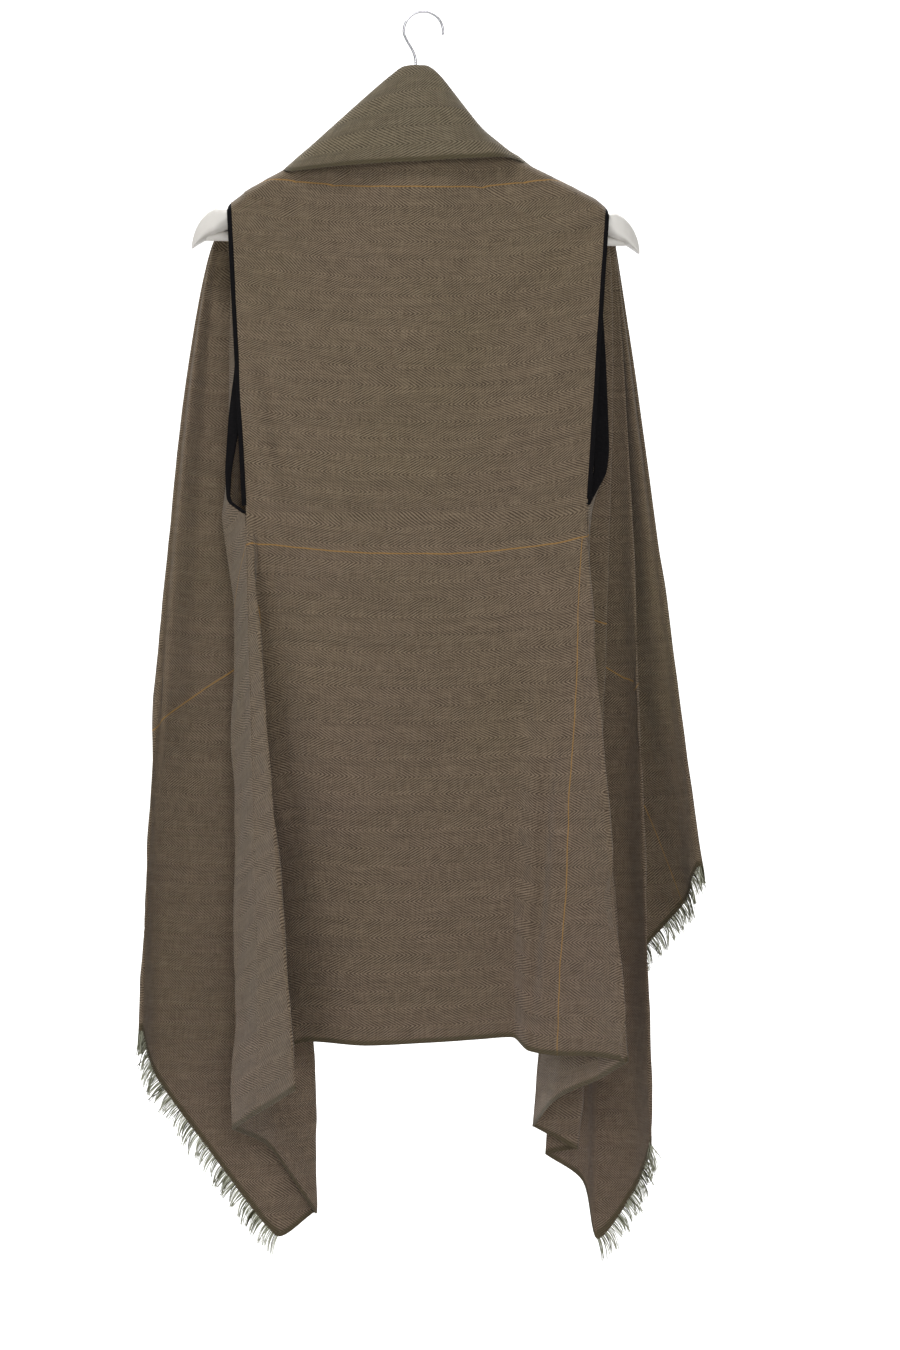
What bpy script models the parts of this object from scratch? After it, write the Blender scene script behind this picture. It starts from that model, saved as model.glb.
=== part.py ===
"""A shawl-cape hung on a contoured hanger, seen from its back.

The cape is one rectangle of woven cloth with two bound armhole slits. Its back hangs flat
between the slits, its top edge is rolled over outward as a collar, and each end falls in
pleats from the shoulder to a fringed edge. Lengths in the tables are millimetres; the
origin is the crown of the hook, where a peg bears, +Z is up and the garment's back faces -Y.
Cloth positions are given as (along, down): along the length from the centre back, and down
from the collar's selvedge. The whole cloth is 1534 long, from one fringed end to the
other, and 1020 wide, from the collar's selvedge to the hem's.
"""
import bpy
import bmesh
import math
import numpy as np
from mathutils import Matrix

MM = 0.001

# --- the cut of the cloth -------------------------------------------------
SLIT_ALONG = 176.0          # each slit's distance from the centre back
SLIT_TOP = 229.0            # down from the collar's selvedge
SLIT_FOOT = 526.0
WALL = 1.4                  # thickness of the cloth's wall
SEAM = 0.3                  # parting between neighbouring pieces
SEAM_PULL = 0.25            # each side of a seam within the cloth stands back this far
FOOT_PULL = [1.1, 0.9, 0.6]  # a front's, at and just below a slit's foot, where it bends
RIDGE_PART = 0.4            # back and fronts each stand back this far along the ridge
BEND = 1.15                 # radius of the cloth's middle where it turns straight back

# --- the hanger -----------------------------------------------------------
HANGER_X = -5.4             # the hanger's middle, under the hook's stem
HANGER_PIVOT = -200.0       # height about which it tilts
TILT = math.radians(0.72)   # it hangs a little low on the right
ARM_CURVE = 15.0            # the arms' tips reach this far towards the front
TIP = 214.4                 # half of the hanger's length
# distance from the middle, top, bottom, half of the depth
ARM_SECTIONS = [
    (0, -92, -134, 7.0),
    (30, -100, -140, 7.5),
    (60, -119, -153, 9.0),
    (100, -143.8, -172, 12.5),
    (136, -159.5, -187, 16.5),
    (158, -172.5, -197, 19.5),
    (175, -184.5, -205, 21.5),
    (190, -191.5, -211, 21.5),
    (198, -195.3, -215, 19.5),
    (205, -201.6, -219, 15.5),
    (210, -209.0, -222.5, 10.5),
    (213.4, -216.5, -225.5, 5.5),
    (214.4, -221.0, -225.0, 2.0),
]
ARM_SIDES = 14
ARM_SQUARENESS = 0.85       # 1 is an ellipse, less is boxier
BAR_Z = -213.0
BAR_RADIUS = 4.9
BAR_HALF = 200.5
BAR_DEPTH = 13.0            # the bar runs between the curved arms' ends
HOOK_WIRE = 1.3             # radius of the wire
HOOK_RADIUS = 18.8          # of its centreline
HOOK_TOP = 1.3              # the centreline at the crown, above the peg's bearing
HOOK_X = 1.8                # the hook's round is off the stem
HOOK_END = math.radians(-12)
HOOK_TURN = math.radians(186)
STEM = [(-14.4, -25.6), (-11.4, -30.6), (-7.8, -36.9), (-5.6, -43.4), (-5.4, -52.0), (-5.4, -91.5)]

# --- the top of the cape: shoulder line and neck --------------------------
# x, depth and height of the ridge over which the cloth lies
RIDGE = [
    (-181, 10.0, -180.0),
    (-164, 9.0, -166.8),
    (-142, 7.0, -155.3),
    (-125, 4.0, -147.0),
    (-87, -6.0, -116.5),
    (-49, -14.0, -84.0),
    (-28, -17.5, -66.0),
    (-16, -18.5, -58.5),
    (-1, -18.8, -57.5),
    (8, -18.5, -59.3),
    (19, -17.5, -69.0),
    (37, -14.0, -91.5),
    (56, -10.0, -114.5),
    (72, -6.0, -127.2),
    (95, 0.0, -142.0),
    (118, 5.0, -152.6),
    (147, 8.0, -166.8),
    (166, 10.0, -177.0),
    (175, 11.0, -184.5),
]
# the back at the level of the slits' feet, and its hem: along, x, depth, height
BACK_FOOT = [
    (-176, -166, -13, -479),
    (-140, -137, -15, -479),
    (-60, -58, -18, -480),
    (0, -1, -19, -480),
    (60, 55, -18, -480),
    (140, 125, -16, -476),
    (176, 157, -13, -472),
]
# the same for the hem, with how round the cloth turns there
BACK_HEM = [
    # along, x, depth, height, roundness, fraction across the foot line
    (-465, -148, -64, -1037, 0.90, 0.00),
    (-390, -114, -105, -1012, 0, 0.012),
    (-228, -151, 10, -1002, 0, 0.035),
    (-118, -112, -16, -979, 0.80, 0.10),
    (-50, -53, -36, -980, 0.90, 0.30),
    (10, 8, -30, -978, 0.90, 0.50),
    (58, 55, -20, -976, 0.90, 0.68),
    (92, 88, -14, -975, 0.80, 0.80),
    (112, 101, -31, -985, 0.80, 0.86),
    (160, 126, -44, -988, 0.80, 0.92),
    (210, 159, -66, -986, 0.90, 0.965),
    (285, 192, -95, -987, 0, 0.988),
    (345, 166, -62, -1008, 0.90, 1.00),
]

BACK_CELLS = [2, 3, 3, 4, 4, 4, 3, 2, 2, 2, 2, 2]    # grid cells between those columns

# --- the two fronts: fold lines from the shoulder down to hem or fringe ----
# name, along, down, x, depth, height at the lower end, sideways bow, roundness,
# 0 for a fold that turns back, layer in the gather behind the hanger's end, and None or the
# x and the drop under the ridge where it leaves the arm
LEFT_FOLDS = [
    ("slit edge", 465, 1020, -148, -64, -1037, 0, 0.90, 0.0, None),
    ("first fold", 540, 1020, -180, -22, -1061, 6, 0, 1.0, None),
    ("hem turn", 640, 1020, -148, 30, -1086, 0, 0.90, 1.8, None),
    ("inner ridge", 727, 1020, -104, 62, -1155, 0, 0, 2.6, None),
    ("corner", 767, 1020, -140, 52, -1176, 0, 0.80, 2.9, None),
    ("panel", 767, 905, -206, 40, -1090, 8, 1.00, 3.1, None),
    ("panel edge", 767, 810, -256, 26, -1016, 16, 0.90, 3.3, None),
    ("side ridge", 767, 757, -269, 8, -971, 20, 0, 3.6, None),
    ("side back", 767, 722, -258, 44, -950, 14, 0.90, 4.4, None),
    ("front pleat 1", 767, 640, -160, 84, -893, 4, 0, 5.4, None),
    ("front pleat 2", 767, 520, -252, 93, -838, 12, 0, 6.4, None),
    ("front pleat 3", 767, 400, -148, 102, -800, 2, 0, 7.6, None),
    ("front pleat 4", 767, 285, -226, 112, -778, 6, 0, 8.8, None),
    ("front pleat 5", 767, 170, -122, 122, -775, 0, 0, 10.2, (-172, 24)),
    ("front pleat 6", 767, 85, -170, 132, -778, 0, 0, 11.2, (-158, 8)),
    ("front edge", 767, 0, -104, 138, -800, 0, 0.90, 11.6, (-112, 0)),
]
RIGHT_FOLDS = [
    ("slit edge", 345, 1020, 166, -62, -1008, 0, 0.90, 0.0, None),
    ("behind the back", 400, 1020, 132, -24, -1030, 0, 0.90, 0.8, None),
    ("first fold", 520, 1020, 106, 24, -1065, 0, 0, 1.6, None),
    ("second fold", 568, 1020, 149, 34, -1088, 13, 0, 2.4, None),
    ("third fold", 602, 1020, 118, 45, -1095, 2, 0, 3.2, None),
    ("hem turn", 672, 1020, 156, 64, -1124, 2, 0.90, 3.8, None),
    ("corner", 767, 1020, 171, 70, -1182, 0, 0.80, 4.1, None),
    ("panel", 767, 958, 205, 60, -1136, 3, 0.90, 4.3, None),
    ("side ridge", 767, 905, 222, 36, -1085, 8, 0, 4.6, None),
    ("side back", 767, 862, 213, 76, -1048, 6, 0.90, 5.2, None),
    ("hidden pleat", 767, 760, 168, 96, -960, 0, 0, 6.0, None),
    ("upper panel", 767, 628, 228, 86, -888, 0, 0.90, 6.4, None),
    ("panel edge", 767, 540, 258, 68, -850, 1, 0.90, 6.7, None),
    ("outer ridge", 767, 468, 270, 48, -817, 2, 0, 7.0, None),
    ("outer back", 767, 432, 261, 88, -806, 2, 0.90, 7.6, None),
    ("front pleat 1", 767, 345, 160, 124, -780, 2, 0, 8.6, None),
    ("front pleat 2", 767, 250, 240, 133, -772, 4, 0, 9.8, None),
    ("front pleat 3", 767, 150, 122, 143, -775, 0, 0, 11.0, (166, 24)),
    ("front pleat 4", 767, 75, 166, 153, -780, 0, 0, 12.0, (150, 8)),
    ("front edge", 767, 0, 98, 159, -800, 0, 0.90, 12.4, (92, 0)),
]
GATHER_SPREAD = 0.07        # how wide the gather at the shoulder is, as part of the fold
GATHER_OUT = {"left": 8.0, "right": 4.5}    # how far outside the shoulder point it hangs
GATHER_DROP = 24.0          # it starts this far under the shoulder point
GATHER_STEP = 2.1           # from one layer to the next
ARM_CLEARANCE = 3.0         # from the arm's wood to the middle of the cloth
ARM_WRAP = 11.0             # drop over which the cloth rounds the arm
FRONT_WRAP = 28.0           # drop over which a front leaves the arm for its pleats

# front edge of each slit from the shoulder to the slit's foot: x, depth, height
SLIT_FRONT = {
    "left": [(-180, 35, -198), (-177, 24, -276), (-179, 17, -339), (-184, 10, -382),
             (-187, 5, -436), (-185, 0, -466), (-167, -13, -479)],
    "right": [(177, 35, -202), (172, 23, -259), (176, 16, -326), (178, 10, -383),
              (179, 6, -417), (176, 1, -439), (166, -5, -457), (158, -13, -472)],
}

# --- the collar: the fold at the neck and the selvedge that hangs from it --
# ridge x, depth, height, then the selvedge's x, depth, height, round the back of the neck
COLLAR = [
    (-100, -3.0, -124.0, -136, -8.0, -148.5),
    (-87, -8.5, -112.5, -124, -20.5, -151.5),
    (-49, -16.5, -80.2, -84, -25.5, -146.5),
    (-28, -20.0, -63.2, -56, -27.0, -145.0),
    (-16, -21.0, -55.4, -31, -27.5, -144.5),
    (-1, -21.5, -54.4, -2, -27.5, -143.5),
    (8, -21.0, -56.0, 20, -27.5, -142.0),
    (19, -20.0, -65.4, 42, -27.0, -140.5),
    (37, -16.5, -87.6, 66, -26.0, -140.0),
    (56, -12.0, -110.8, 84, -23.0, -139.6),
    (72, -8.0, -124.2, 97, -14.0, -140.5),
    (82, -3.5, -130.6, 105, -7.0, -142.0),
]
COLLAR_BULGE = 4.0          # how far the fall stands out between fold and selvedge
# width of the rolled lapel at each row of a front, from the ridge down
LAPEL = {
    "left": [31, 32, 33, 35, 37, 40, 41, 40, 36, 29, 22, 3],
    "right": [23, 24, 25, 27, 31, 36, 38, 38, 34, 28, 21, 3],
}
LAPEL_LIFT = 2.6            # from the middle of the front's cloth to the middle of the lapel

# --- trims ------------------------------------------------------------------
BINDING_WIDTH = 4.0
BINDING_GAP = 0.45          # from the slit's edge, so that the tape clears its bends
BINDING_WALL = 2.0
STRANDS = 108               # in the fringe of each end
FRINGE_GAP = 0.6            # from the cloth's frayed edge to the strip
LEAST_SLANT = 0.45          # least sine counted between the edge and the folds that meet it
STRIP_WIDTH = 3.0           # woven strip that the strands stand in
STRAND_LENGTH = 15.0
STRAND_DROOP = 0.5          # how far a strand's end leans towards straight down


def clear_scene():
    for item in list(bpy.data.objects):
        bpy.data.objects.remove(item, do_unlink=True)


def make_material(name, colour, roughness, metallic=0.0):
    material = bpy.data.materials.new(name)
    material.use_nodes = True
    shader = material.node_tree.nodes["Principled BSDF"]
    shader.inputs["Base Color"].default_value = (*colour, 1.0)
    shader.inputs["Roughness"].default_value = roughness
    shader.inputs["Metallic"].default_value = metallic
    return material


def make_object(name, vertices, faces, material, smooth=True):
    """A closed piece from points in millimetres, with its faces turned outward."""
    mesh = bpy.data.meshes.new(name)
    mesh.from_pydata([tuple(point) for point in np.asarray(vertices, float) * MM], [], faces)
    shell = bmesh.new()
    shell.from_mesh(mesh)
    bmesh.ops.recalc_face_normals(shell, faces=shell.faces)
    shell.to_mesh(mesh)
    shell.free()
    if smooth:
        mesh.shade_smooth()
    mesh.materials.append(material)
    item = bpy.data.objects.new(name, mesh)
    bpy.context.scene.collection.objects.link(item)
    return item


def unit(vectors):
    return vectors / np.linalg.norm(vectors, axis=-1, keepdims=True)


def interpolate(table, at):
    """Rows of a table, the first column being the place, read at several places."""
    rows = np.array(table, float)
    columns = [np.interp(at, rows[:, 0], rows[:, i]) for i in range(1, rows.shape[1])]
    return np.stack(columns, axis=-1)


def along_path(points, fractions):
    """Points at fractions of a polyline's length."""
    points = np.array(points, float)
    steps = np.linalg.norm(np.diff(points, axis=0), axis=1)
    reach = np.concatenate([[0.0], np.cumsum(steps)]) / steps.sum()
    return np.stack([np.interp(fractions, reach, points[:, i]) for i in range(3)], axis=-1)


def across_folds(lines, roundness, cells, before=None, after=None):
    """A surface through neighbouring fold lines, smooth from one to the next.

    lines has the shape (fold, row, xyz). A fold with the roundness 0 turns straight back: it
    gets a round bend of the radius BEND, so that the walls of its two layers stay apart. At
    any other fold the surface runs on with the mean heading of the spans beside it.
    """
    first = lines[:1] if before is None else before[None]
    last = lines[-1:] if after is None else after[None]
    framed = np.concatenate([first, lines, last])
    steps = np.diff(framed, axis=0)
    lengths = np.linalg.norm(steps, axis=-1, keepdims=True)
    headings = steps / np.maximum(lengths, 1e-9)
    arrive, leave = lines.copy(), lines.copy()
    slopes = np.zeros_like(lines)
    for fold, soft in enumerate(roundness):
        back, on = -headings[fold], headings[fold + 1]
        if soft:
            spans = [span for span in (lengths[fold], lengths[fold + 1]) if span.max() > 1e-6]
            slopes[fold] = (on - back) / 2 * np.minimum.reduce(spans) * soft
        else:
            room = np.minimum(BEND, 0.3 * np.minimum(lengths[fold], lengths[fold + 1]))
            run = unit(np.gradient(lines[fold], axis=0))
            back, on = (unit(way - np.sum(way * run, axis=-1, keepdims=True) * run) for way in (back, on))
            inward, across = unit(back + on), unit(on - back)
            half_turn = np.arctan2(np.linalg.norm(on - back, axis=-1, keepdims=True),
                                   np.linalg.norm(back + on, axis=-1, keepdims=True))
            wide = np.maximum(half_turn, math.pi / 4)
            arrive[fold] = lines[fold] + math.sqrt(2) * room * (np.cos(wide) * inward - np.sin(wide) * across)
            leave[fold] = lines[fold] + math.sqrt(2) * room * (np.cos(wide) * inward + np.sin(wide) * across)
    columns = []
    for fold in range(len(lines) - 1):
        start, end = leave[fold], arrive[fold + 1]
        out = slopes[fold] if roundness[fold] else end - start
        into = slopes[fold + 1] if roundness[fold + 1] else end - start
        columns.append(lines[fold])
        for cell in range(0 if not roundness[fold] else 1, cells[fold]):
            u = cell / cells[fold]
            columns.append(start * (2 * u**3 - 3 * u**2 + 1) + out * (u**3 - 2 * u**2 + u)
                           + end * (3 * u**2 - 2 * u**3) + into * (u**3 - u**2))
        if not roundness[fold + 1]:
            columns.append(end)
    columns.append(lines[-1])
    return np.array(columns)


def columns_before(roundness, cells, fold):
    """How many columns of such a surface come before one of its fold lines."""
    return sum(cells[k] + (not roundness[k]) + (not roundness[k + 1]) for k in range(fold))


def surface_normals(grid):
    """Unit normals of a grid of points with the shape (column, row, xyz)."""
    return unit(np.cross(np.gradient(grid, axis=0), np.gradient(grid, axis=1)))


def wall(name, grid, material, thickness=WALL):
    """A closed wall of even thickness about a grid of points."""
    columns, rows = grid.shape[:2]
    offset = surface_normals(grid) * thickness / 2
    vertices = np.concatenate([(grid + offset).reshape(-1, 3), (grid - offset).reshape(-1, 3)])
    other = columns * rows
    faces = []
    for i in range(columns - 1):
        for j in range(rows - 1):
            a, b, c, d = i * rows + j, (i + 1) * rows + j, (i + 1) * rows + j + 1, i * rows + j + 1
            faces.append((a, b, c, d))
            faces.append((other + d, other + c, other + b, other + a))
    rim = [i * rows for i in range(columns)]
    rim += [(columns - 1) * rows + j for j in range(1, rows)]
    rim += [i * rows + rows - 1 for i in range(columns - 2, -1, -1)]
    rim += [j for j in range(rows - 2, 0, -1)]
    for here, following in zip(rim, rim[1:] + rim[:1]):
        faces.append((here, other + here, other + following, following))
    return make_object(name, vertices, faces, material)


def arm_section(distance):
    """Top, bottom, half depth and middle depth of the arm at a distance from its middle."""
    top, bottom, half = np.moveaxis(interpolate(ARM_SECTIONS, np.abs(distance)), -1, 0)
    return top, bottom, half, ARM_CURVE * (np.abs(distance) / TIP) ** 2


def arm_face(x, side):
    """Depth of the cloth that passes the arm's rear (side -1) or front (side 1) at x."""
    _, _, half, middle = arm_section(np.asarray(x, float) - HANGER_X)
    return middle + side * (half + ARM_CLEARANCE)


def rounding(drop, reach):
    """A quarter of an ellipse, from 0 on the ridge to 1 where the cloth hangs free."""
    part = np.clip(drop / reach, 0.0, 1.0)
    return np.sqrt(1 - (1 - part) ** 2)


# --- cloth ---------------------------------------------------------------------
# rows of the fronts: shares of the slit's edge, then of the way from its foot to the end
SLIT_ROWS = [0.0, 0.02, 0.05, 0.10, 0.20, 0.35, 0.50, 0.65, 0.80, 0.91, 1.0]
LOWER_ROWS = [0.12, 0.25, 0.40, 0.55, 0.70, 0.85, 1.0]
# rows of the back: shares of the way from the ridge to the slits' feet, then on to the hem
BACK_UPPER = [0.0, 0.012, 0.03, 0.06, 0.14, 0.30, 0.50, 0.72]
BACK_LOWER = [0.0, 0.10, 0.22, 0.36, 0.50, 0.66, 0.83, 1.0]


def slit_share(side):
    """Part of the first fold line's length that is the slit's edge."""
    folds = LEFT_FOLDS if side == "left" else RIGHT_FOLDS
    foot = np.array(SLIT_FRONT[side][-1], float)
    end = np.array(folds[0][3:6], float)
    slit = SLIT_FOOT - SLIT_TOP
    return slit / (slit + np.linalg.norm(end - foot))


def front_lines(side, v):
    """Fold lines of one front, each at the fractions v of its length."""
    folds = LEFT_FOLDS if side == "left" else RIGHT_FOLDS
    outward = -1 if side == "left" else 1
    shoulder = np.array(RIDGE[0 if side == "left" else -1], float)
    face = arm_face(shoulder[0], 1)
    bow_shape = np.sqrt(v) * (1 - v) / 0.385
    ease = np.clip((v - 0.05) / 0.95, 0, 1)
    lines = []
    for name, along, down, x, depth, height, bow, _, layer, leaves in folds:
        if name == "slit edge":
            share = slit_share(side)
            upper = along_path(SLIT_FRONT[side], np.clip(v / share, 0, 1))
            foot = np.array(SLIT_FRONT[side][-1], float)
            below = np.clip((v - share) / (1 - share), 0, 1)[:, None]
            lines.append(np.where(v[:, None] <= share, upper,
                                  foot + (np.array([x, depth, height]) - foot) * below))
            continue
        stacked = face + GATHER_STEP * layer
        if leaves is None:
            start_x = shoulder[0] + GATHER_SPREAD * (x - shoulder[0]) + outward * GATHER_OUT[side]
            start_y = stacked
            start_z = shoulder[2] - GATHER_DROP
        else:
            start_x, drop = leaves
            start_y, ridge_z = interpolate(RIDGE, np.array([float(start_x)]))[0]
            start_y += RIDGE_PART
            start_z = ridge_z - drop
        top_z = start_z if leaves is None else ridge_z
        line_z = start_z + (height - start_z) * v
        line_y = (start_y + (stacked - start_y) * rounding(top_z - line_z, FRONT_WRAP)
                  + (depth - stacked) * ease)
        line_x = start_x + (x - start_x) * v + outward * bow * bow_shape
        lines.append(np.stack([line_x, line_y, line_z], axis=-1))
    return np.array(lines)


def part_edge(grid, column, neighbour, first_row, pulls=()):
    """Pull an edge column back from the seam it shares with the next piece."""
    inward = unit(grid[neighbour, first_row:] - grid[column, first_row:])
    pull = np.full((len(inward), 1), SEAM_PULL)
    pull[:len(pulls), 0] = pulls
    grid[column, first_row:] += inward * pull


def front_grid(side):
    """Grid of one front, how many cells lie between its folds, and its rows' fractions."""
    folds = LEFT_FOLDS if side == "left" else RIGHT_FOLDS
    share = slit_share(side)
    v = np.array([share * row for row in SLIT_ROWS]
                 + [share + (1 - share) * row for row in LOWER_ROWS])
    roundness = [fold[7] for fold in folds]
    cells = [1 + (roundness[k] > 0) + (roundness[k + 1] > 0) for k in range(len(folds) - 1)]
    lines = front_lines(side, v)
    nearest = np.array(BACK_HEM[1 if side == "left" else -2][1:4], float)
    below = np.clip((v - share) / (1 - share), 0, 1)[:, None]
    beyond = np.where(below > 0, lines[0] + (nearest - lines[0, -1]) * below, lines[0])
    grid = across_folds(lines, roundness, cells, before=beyond)
    part_edge(grid, 0, 1, len(SLIT_ROWS) - 1, FOOT_PULL)
    return grid, cells, v


def back_grid():
    """The back: from the ridge over the hanger to the slits' feet, and on to the hem."""
    hem = np.array(BACK_HEM, float)
    part = hem[:, 5]
    foot_rows = np.array(BACK_FOOT, float)
    foot_part = (foot_rows[:, 0] + SLIT_ALONG) / (2 * SLIT_ALONG)
    cells = BACK_CELLS
    foot = np.stack([np.interp(part, foot_part, foot_rows[:, i]) for i in (1, 2, 3)], axis=-1)
    fractions = np.array(BACK_LOWER)[:, None]
    lines = foot[:, None] + (hem[:, None, 1:4] - foot[:, None]) * fractions
    beyond = [line + (np.array(folds[1][3:6], float) - line[-1]) * fractions
              for line, folds in ((lines[0], LEFT_FOLDS), (lines[-1], RIGHT_FOLDS))]
    lower = across_folds(lines, hem[:, 4], cells, before=beyond[0], after=beyond[1])
    for column, neighbour in ((0, 1), (-1, -2)):
        part_edge(lower, column, neighbour, 0)
    # the upper part hangs from the ridge to the first row of the lower part
    start = lower[:, 0]
    share = np.clip((start[:, 0] - start[0, 0]) / (start[-1, 0] - start[0, 0]), 0, 1)
    ridge = np.array(RIDGE, float)
    top_x = ridge[0, 0] + (ridge[-1, 0] - ridge[0, 0]) * share
    top = np.concatenate([top_x[:, None], interpolate(RIDGE, top_x)], axis=1)
    top[:, 1] -= RIDGE_PART
    w = np.array(BACK_UPPER)
    upper = top[:, None] + (start - top)[:, None] * w[None, :, None]
    rear = np.minimum(arm_face(top_x, -1), top[:, 1])[:, None]
    drop = top[:, None, 2] - upper[:, :, 2]
    upper[:, :, 1] = (top[:, None, 1] + (rear - top[:, None, 1]) * rounding(drop, ARM_WRAP)
                      + (start[:, None, 1] - rear) * w[None])
    return np.concatenate([upper, lower], axis=1)


def make_back(material):
    return wall("back", back_grid(), material)


def make_front(side, material):
    grid, _, _ = front_grid(side)
    return wall("front_" + side, grid, material)


def lapel_rows(side, u):
    """Rows of the lapel, from its fold to its selvedge: the front's cloth, moved out."""
    grid, _, _ = front_grid(side)
    normals = surface_normals(grid)
    rows = []
    for row, width in enumerate(LAPEL[side]):
        line, out = grid[::-1, row], normals[::-1, row]
        lifted = line + LAPEL_LIFT * out * np.sign(out[:, 1:2])
        reach = np.concatenate([[0.0], np.cumsum(np.linalg.norm(np.diff(line, axis=0), axis=1))])
        rows.append(np.stack([np.interp(u * width, reach, lifted[:, i]) for i in range(3)], axis=-1))
    return np.array(rows)


def make_collar(material):
    """The collar's fall: the cloth folded outward at the neck and down to its selvedge."""
    table = np.array(COLLAR, float)
    u = np.linspace(0, 1, 6)
    ridge, edge = table[:, None, :3], table[:, None, 3:]
    neck = ridge + (edge - ridge) * u[None, :, None]
    neck[:, :, 1] -= COLLAR_BULGE * np.sqrt(u) * (1 - u) / 0.385
    grid = np.concatenate([lapel_rows("left", u)[::-1], neck, lapel_rows("right", u)])
    return wall("collar", grid, material)


def make_hanger(material):
    """Both arms in one piece of turned and bent wood, with sockets for the bar."""
    middle = np.array([row[0] for row in ARM_SECTIONS], float)
    distances = np.concatenate([-middle[::-1], middle[1:]])
    angles = np.linspace(0, 2 * np.pi, ARM_SIDES, endpoint=False)
    vertices = []
    for distance in distances:
        top, bottom, half, depth = arm_section(distance)
        y = depth + half * np.sign(np.cos(angles)) * np.abs(np.cos(angles)) ** ARM_SQUARENESS
        swing = np.sign(np.sin(angles)) * np.abs(np.sin(angles)) ** ARM_SQUARENESS
        z = (top + bottom) / 2 + (top - bottom) / 2 * swing
        vertices += list(np.stack([np.full(ARM_SIDES, distance), y, z], axis=-1))
    faces = []
    for ring in range(len(distances) - 1):
        for side in range(ARM_SIDES):
            following = (side + 1) % ARM_SIDES
            base = ring * ARM_SIDES
            faces.append((base + side, base + following,
                          base + ARM_SIDES + following, base + ARM_SIDES + side))
    last = (len(distances) - 1) * ARM_SIDES
    faces.append(tuple(range(ARM_SIDES)))
    faces.append(tuple(last + side for side in reversed(range(ARM_SIDES))))
    arms = make_object("hanger_arms", vertices, faces, material)
    cutter = make_cylinder("bar_socket", BAR_RADIUS + SEAM, BAR_HALF + SEAM, material)
    cutter.hide_render = True
    cutter.display_type = "WIRE"
    cut = arms.modifiers.new("socket", "BOOLEAN")
    cut.operation = "DIFFERENCE"
    cut.object = cutter
    place_on_hanger(arms)
    place_on_hanger(cutter)
    return arms


def make_cylinder(name, radius, half_length, material):
    """A round bar along X, under the arms."""
    mesh = bpy.data.meshes.new(name)
    shell = bmesh.new()
    bmesh.ops.create_cone(shell, cap_ends=True, segments=16, radius1=radius * MM, radius2=radius * MM,
                          depth=2 * half_length * MM,
                          matrix=Matrix.Translation((0, BAR_DEPTH * MM, BAR_Z * MM))
                          @ Matrix.Rotation(math.pi / 2, 4, "Y"))
    shell.to_mesh(mesh)
    shell.free()
    mesh.shade_smooth()
    mesh.set_sharp_from_angle(angle=math.radians(40))
    mesh.materials.append(material)
    item = bpy.data.objects.new(name, mesh)
    bpy.context.scene.collection.objects.link(item)
    return item


def place_on_hanger(item):
    """The hanger's own frame: its middle is beside the hook's crown, and it tilts."""
    item.location = ((HANGER_X - HANGER_PIVOT * math.sin(TILT)) * MM, 0, 0)
    item.rotation_euler = (0, TILT, 0)


def make_hook(material):
    """Bent wire: a round hook that runs in a curve into an upright stem."""
    turns = np.linspace(HOOK_END, HOOK_TURN, 20)
    points = [(HOOK_X + HOOK_RADIUS * math.cos(a), HOOK_TOP - HOOK_RADIUS + HOOK_RADIUS * math.sin(a))
              for a in turns]
    points += STEM
    curve = bpy.data.curves.new("hook", "CURVE")
    curve.dimensions = "3D"
    curve.bevel_depth = HOOK_WIRE * MM
    curve.bevel_resolution = 2
    curve.use_fill_caps = True
    spline = curve.splines.new("POLY")
    spline.points.add(len(points) - 1)
    for point, (x, z) in zip(spline.points, points):
        point.co = (x * MM, 0, z * MM, 1)
    curve.materials.append(material)
    item = bpy.data.objects.new("hook", curve)
    bpy.context.scene.collection.objects.link(item)
    return item


def make_binding(name, edge, inward, normals, material):
    """A flat tape just off a slit's edge: edge and inward directions run along the slit."""
    along = unit(np.gradient(edge, axis=0))
    square = np.cross(normals, along)
    outward = -unit(square * np.sign(np.sum(square * inward, axis=1, keepdims=True)))
    near = edge + outward * BINDING_GAP
    far = edge + outward * (BINDING_GAP + BINDING_WIDTH)
    half = normals * BINDING_WALL / 2
    rings = np.stack([near + half, near - half, far - half, far + half], axis=1)
    count = len(edge)
    faces = [(0, 1, 2, 3), tuple(4 * (count - 1) + k for k in (3, 2, 1, 0))]
    for i in range(count - 1):
        for k in range(4):
            following = (k + 1) % 4
            faces.append((4 * i + k, 4 * (i + 1) + k, 4 * (i + 1) + following, 4 * i + following))
    return make_object(name, rings.reshape(-1, 3), faces, material, smooth=False)


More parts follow.
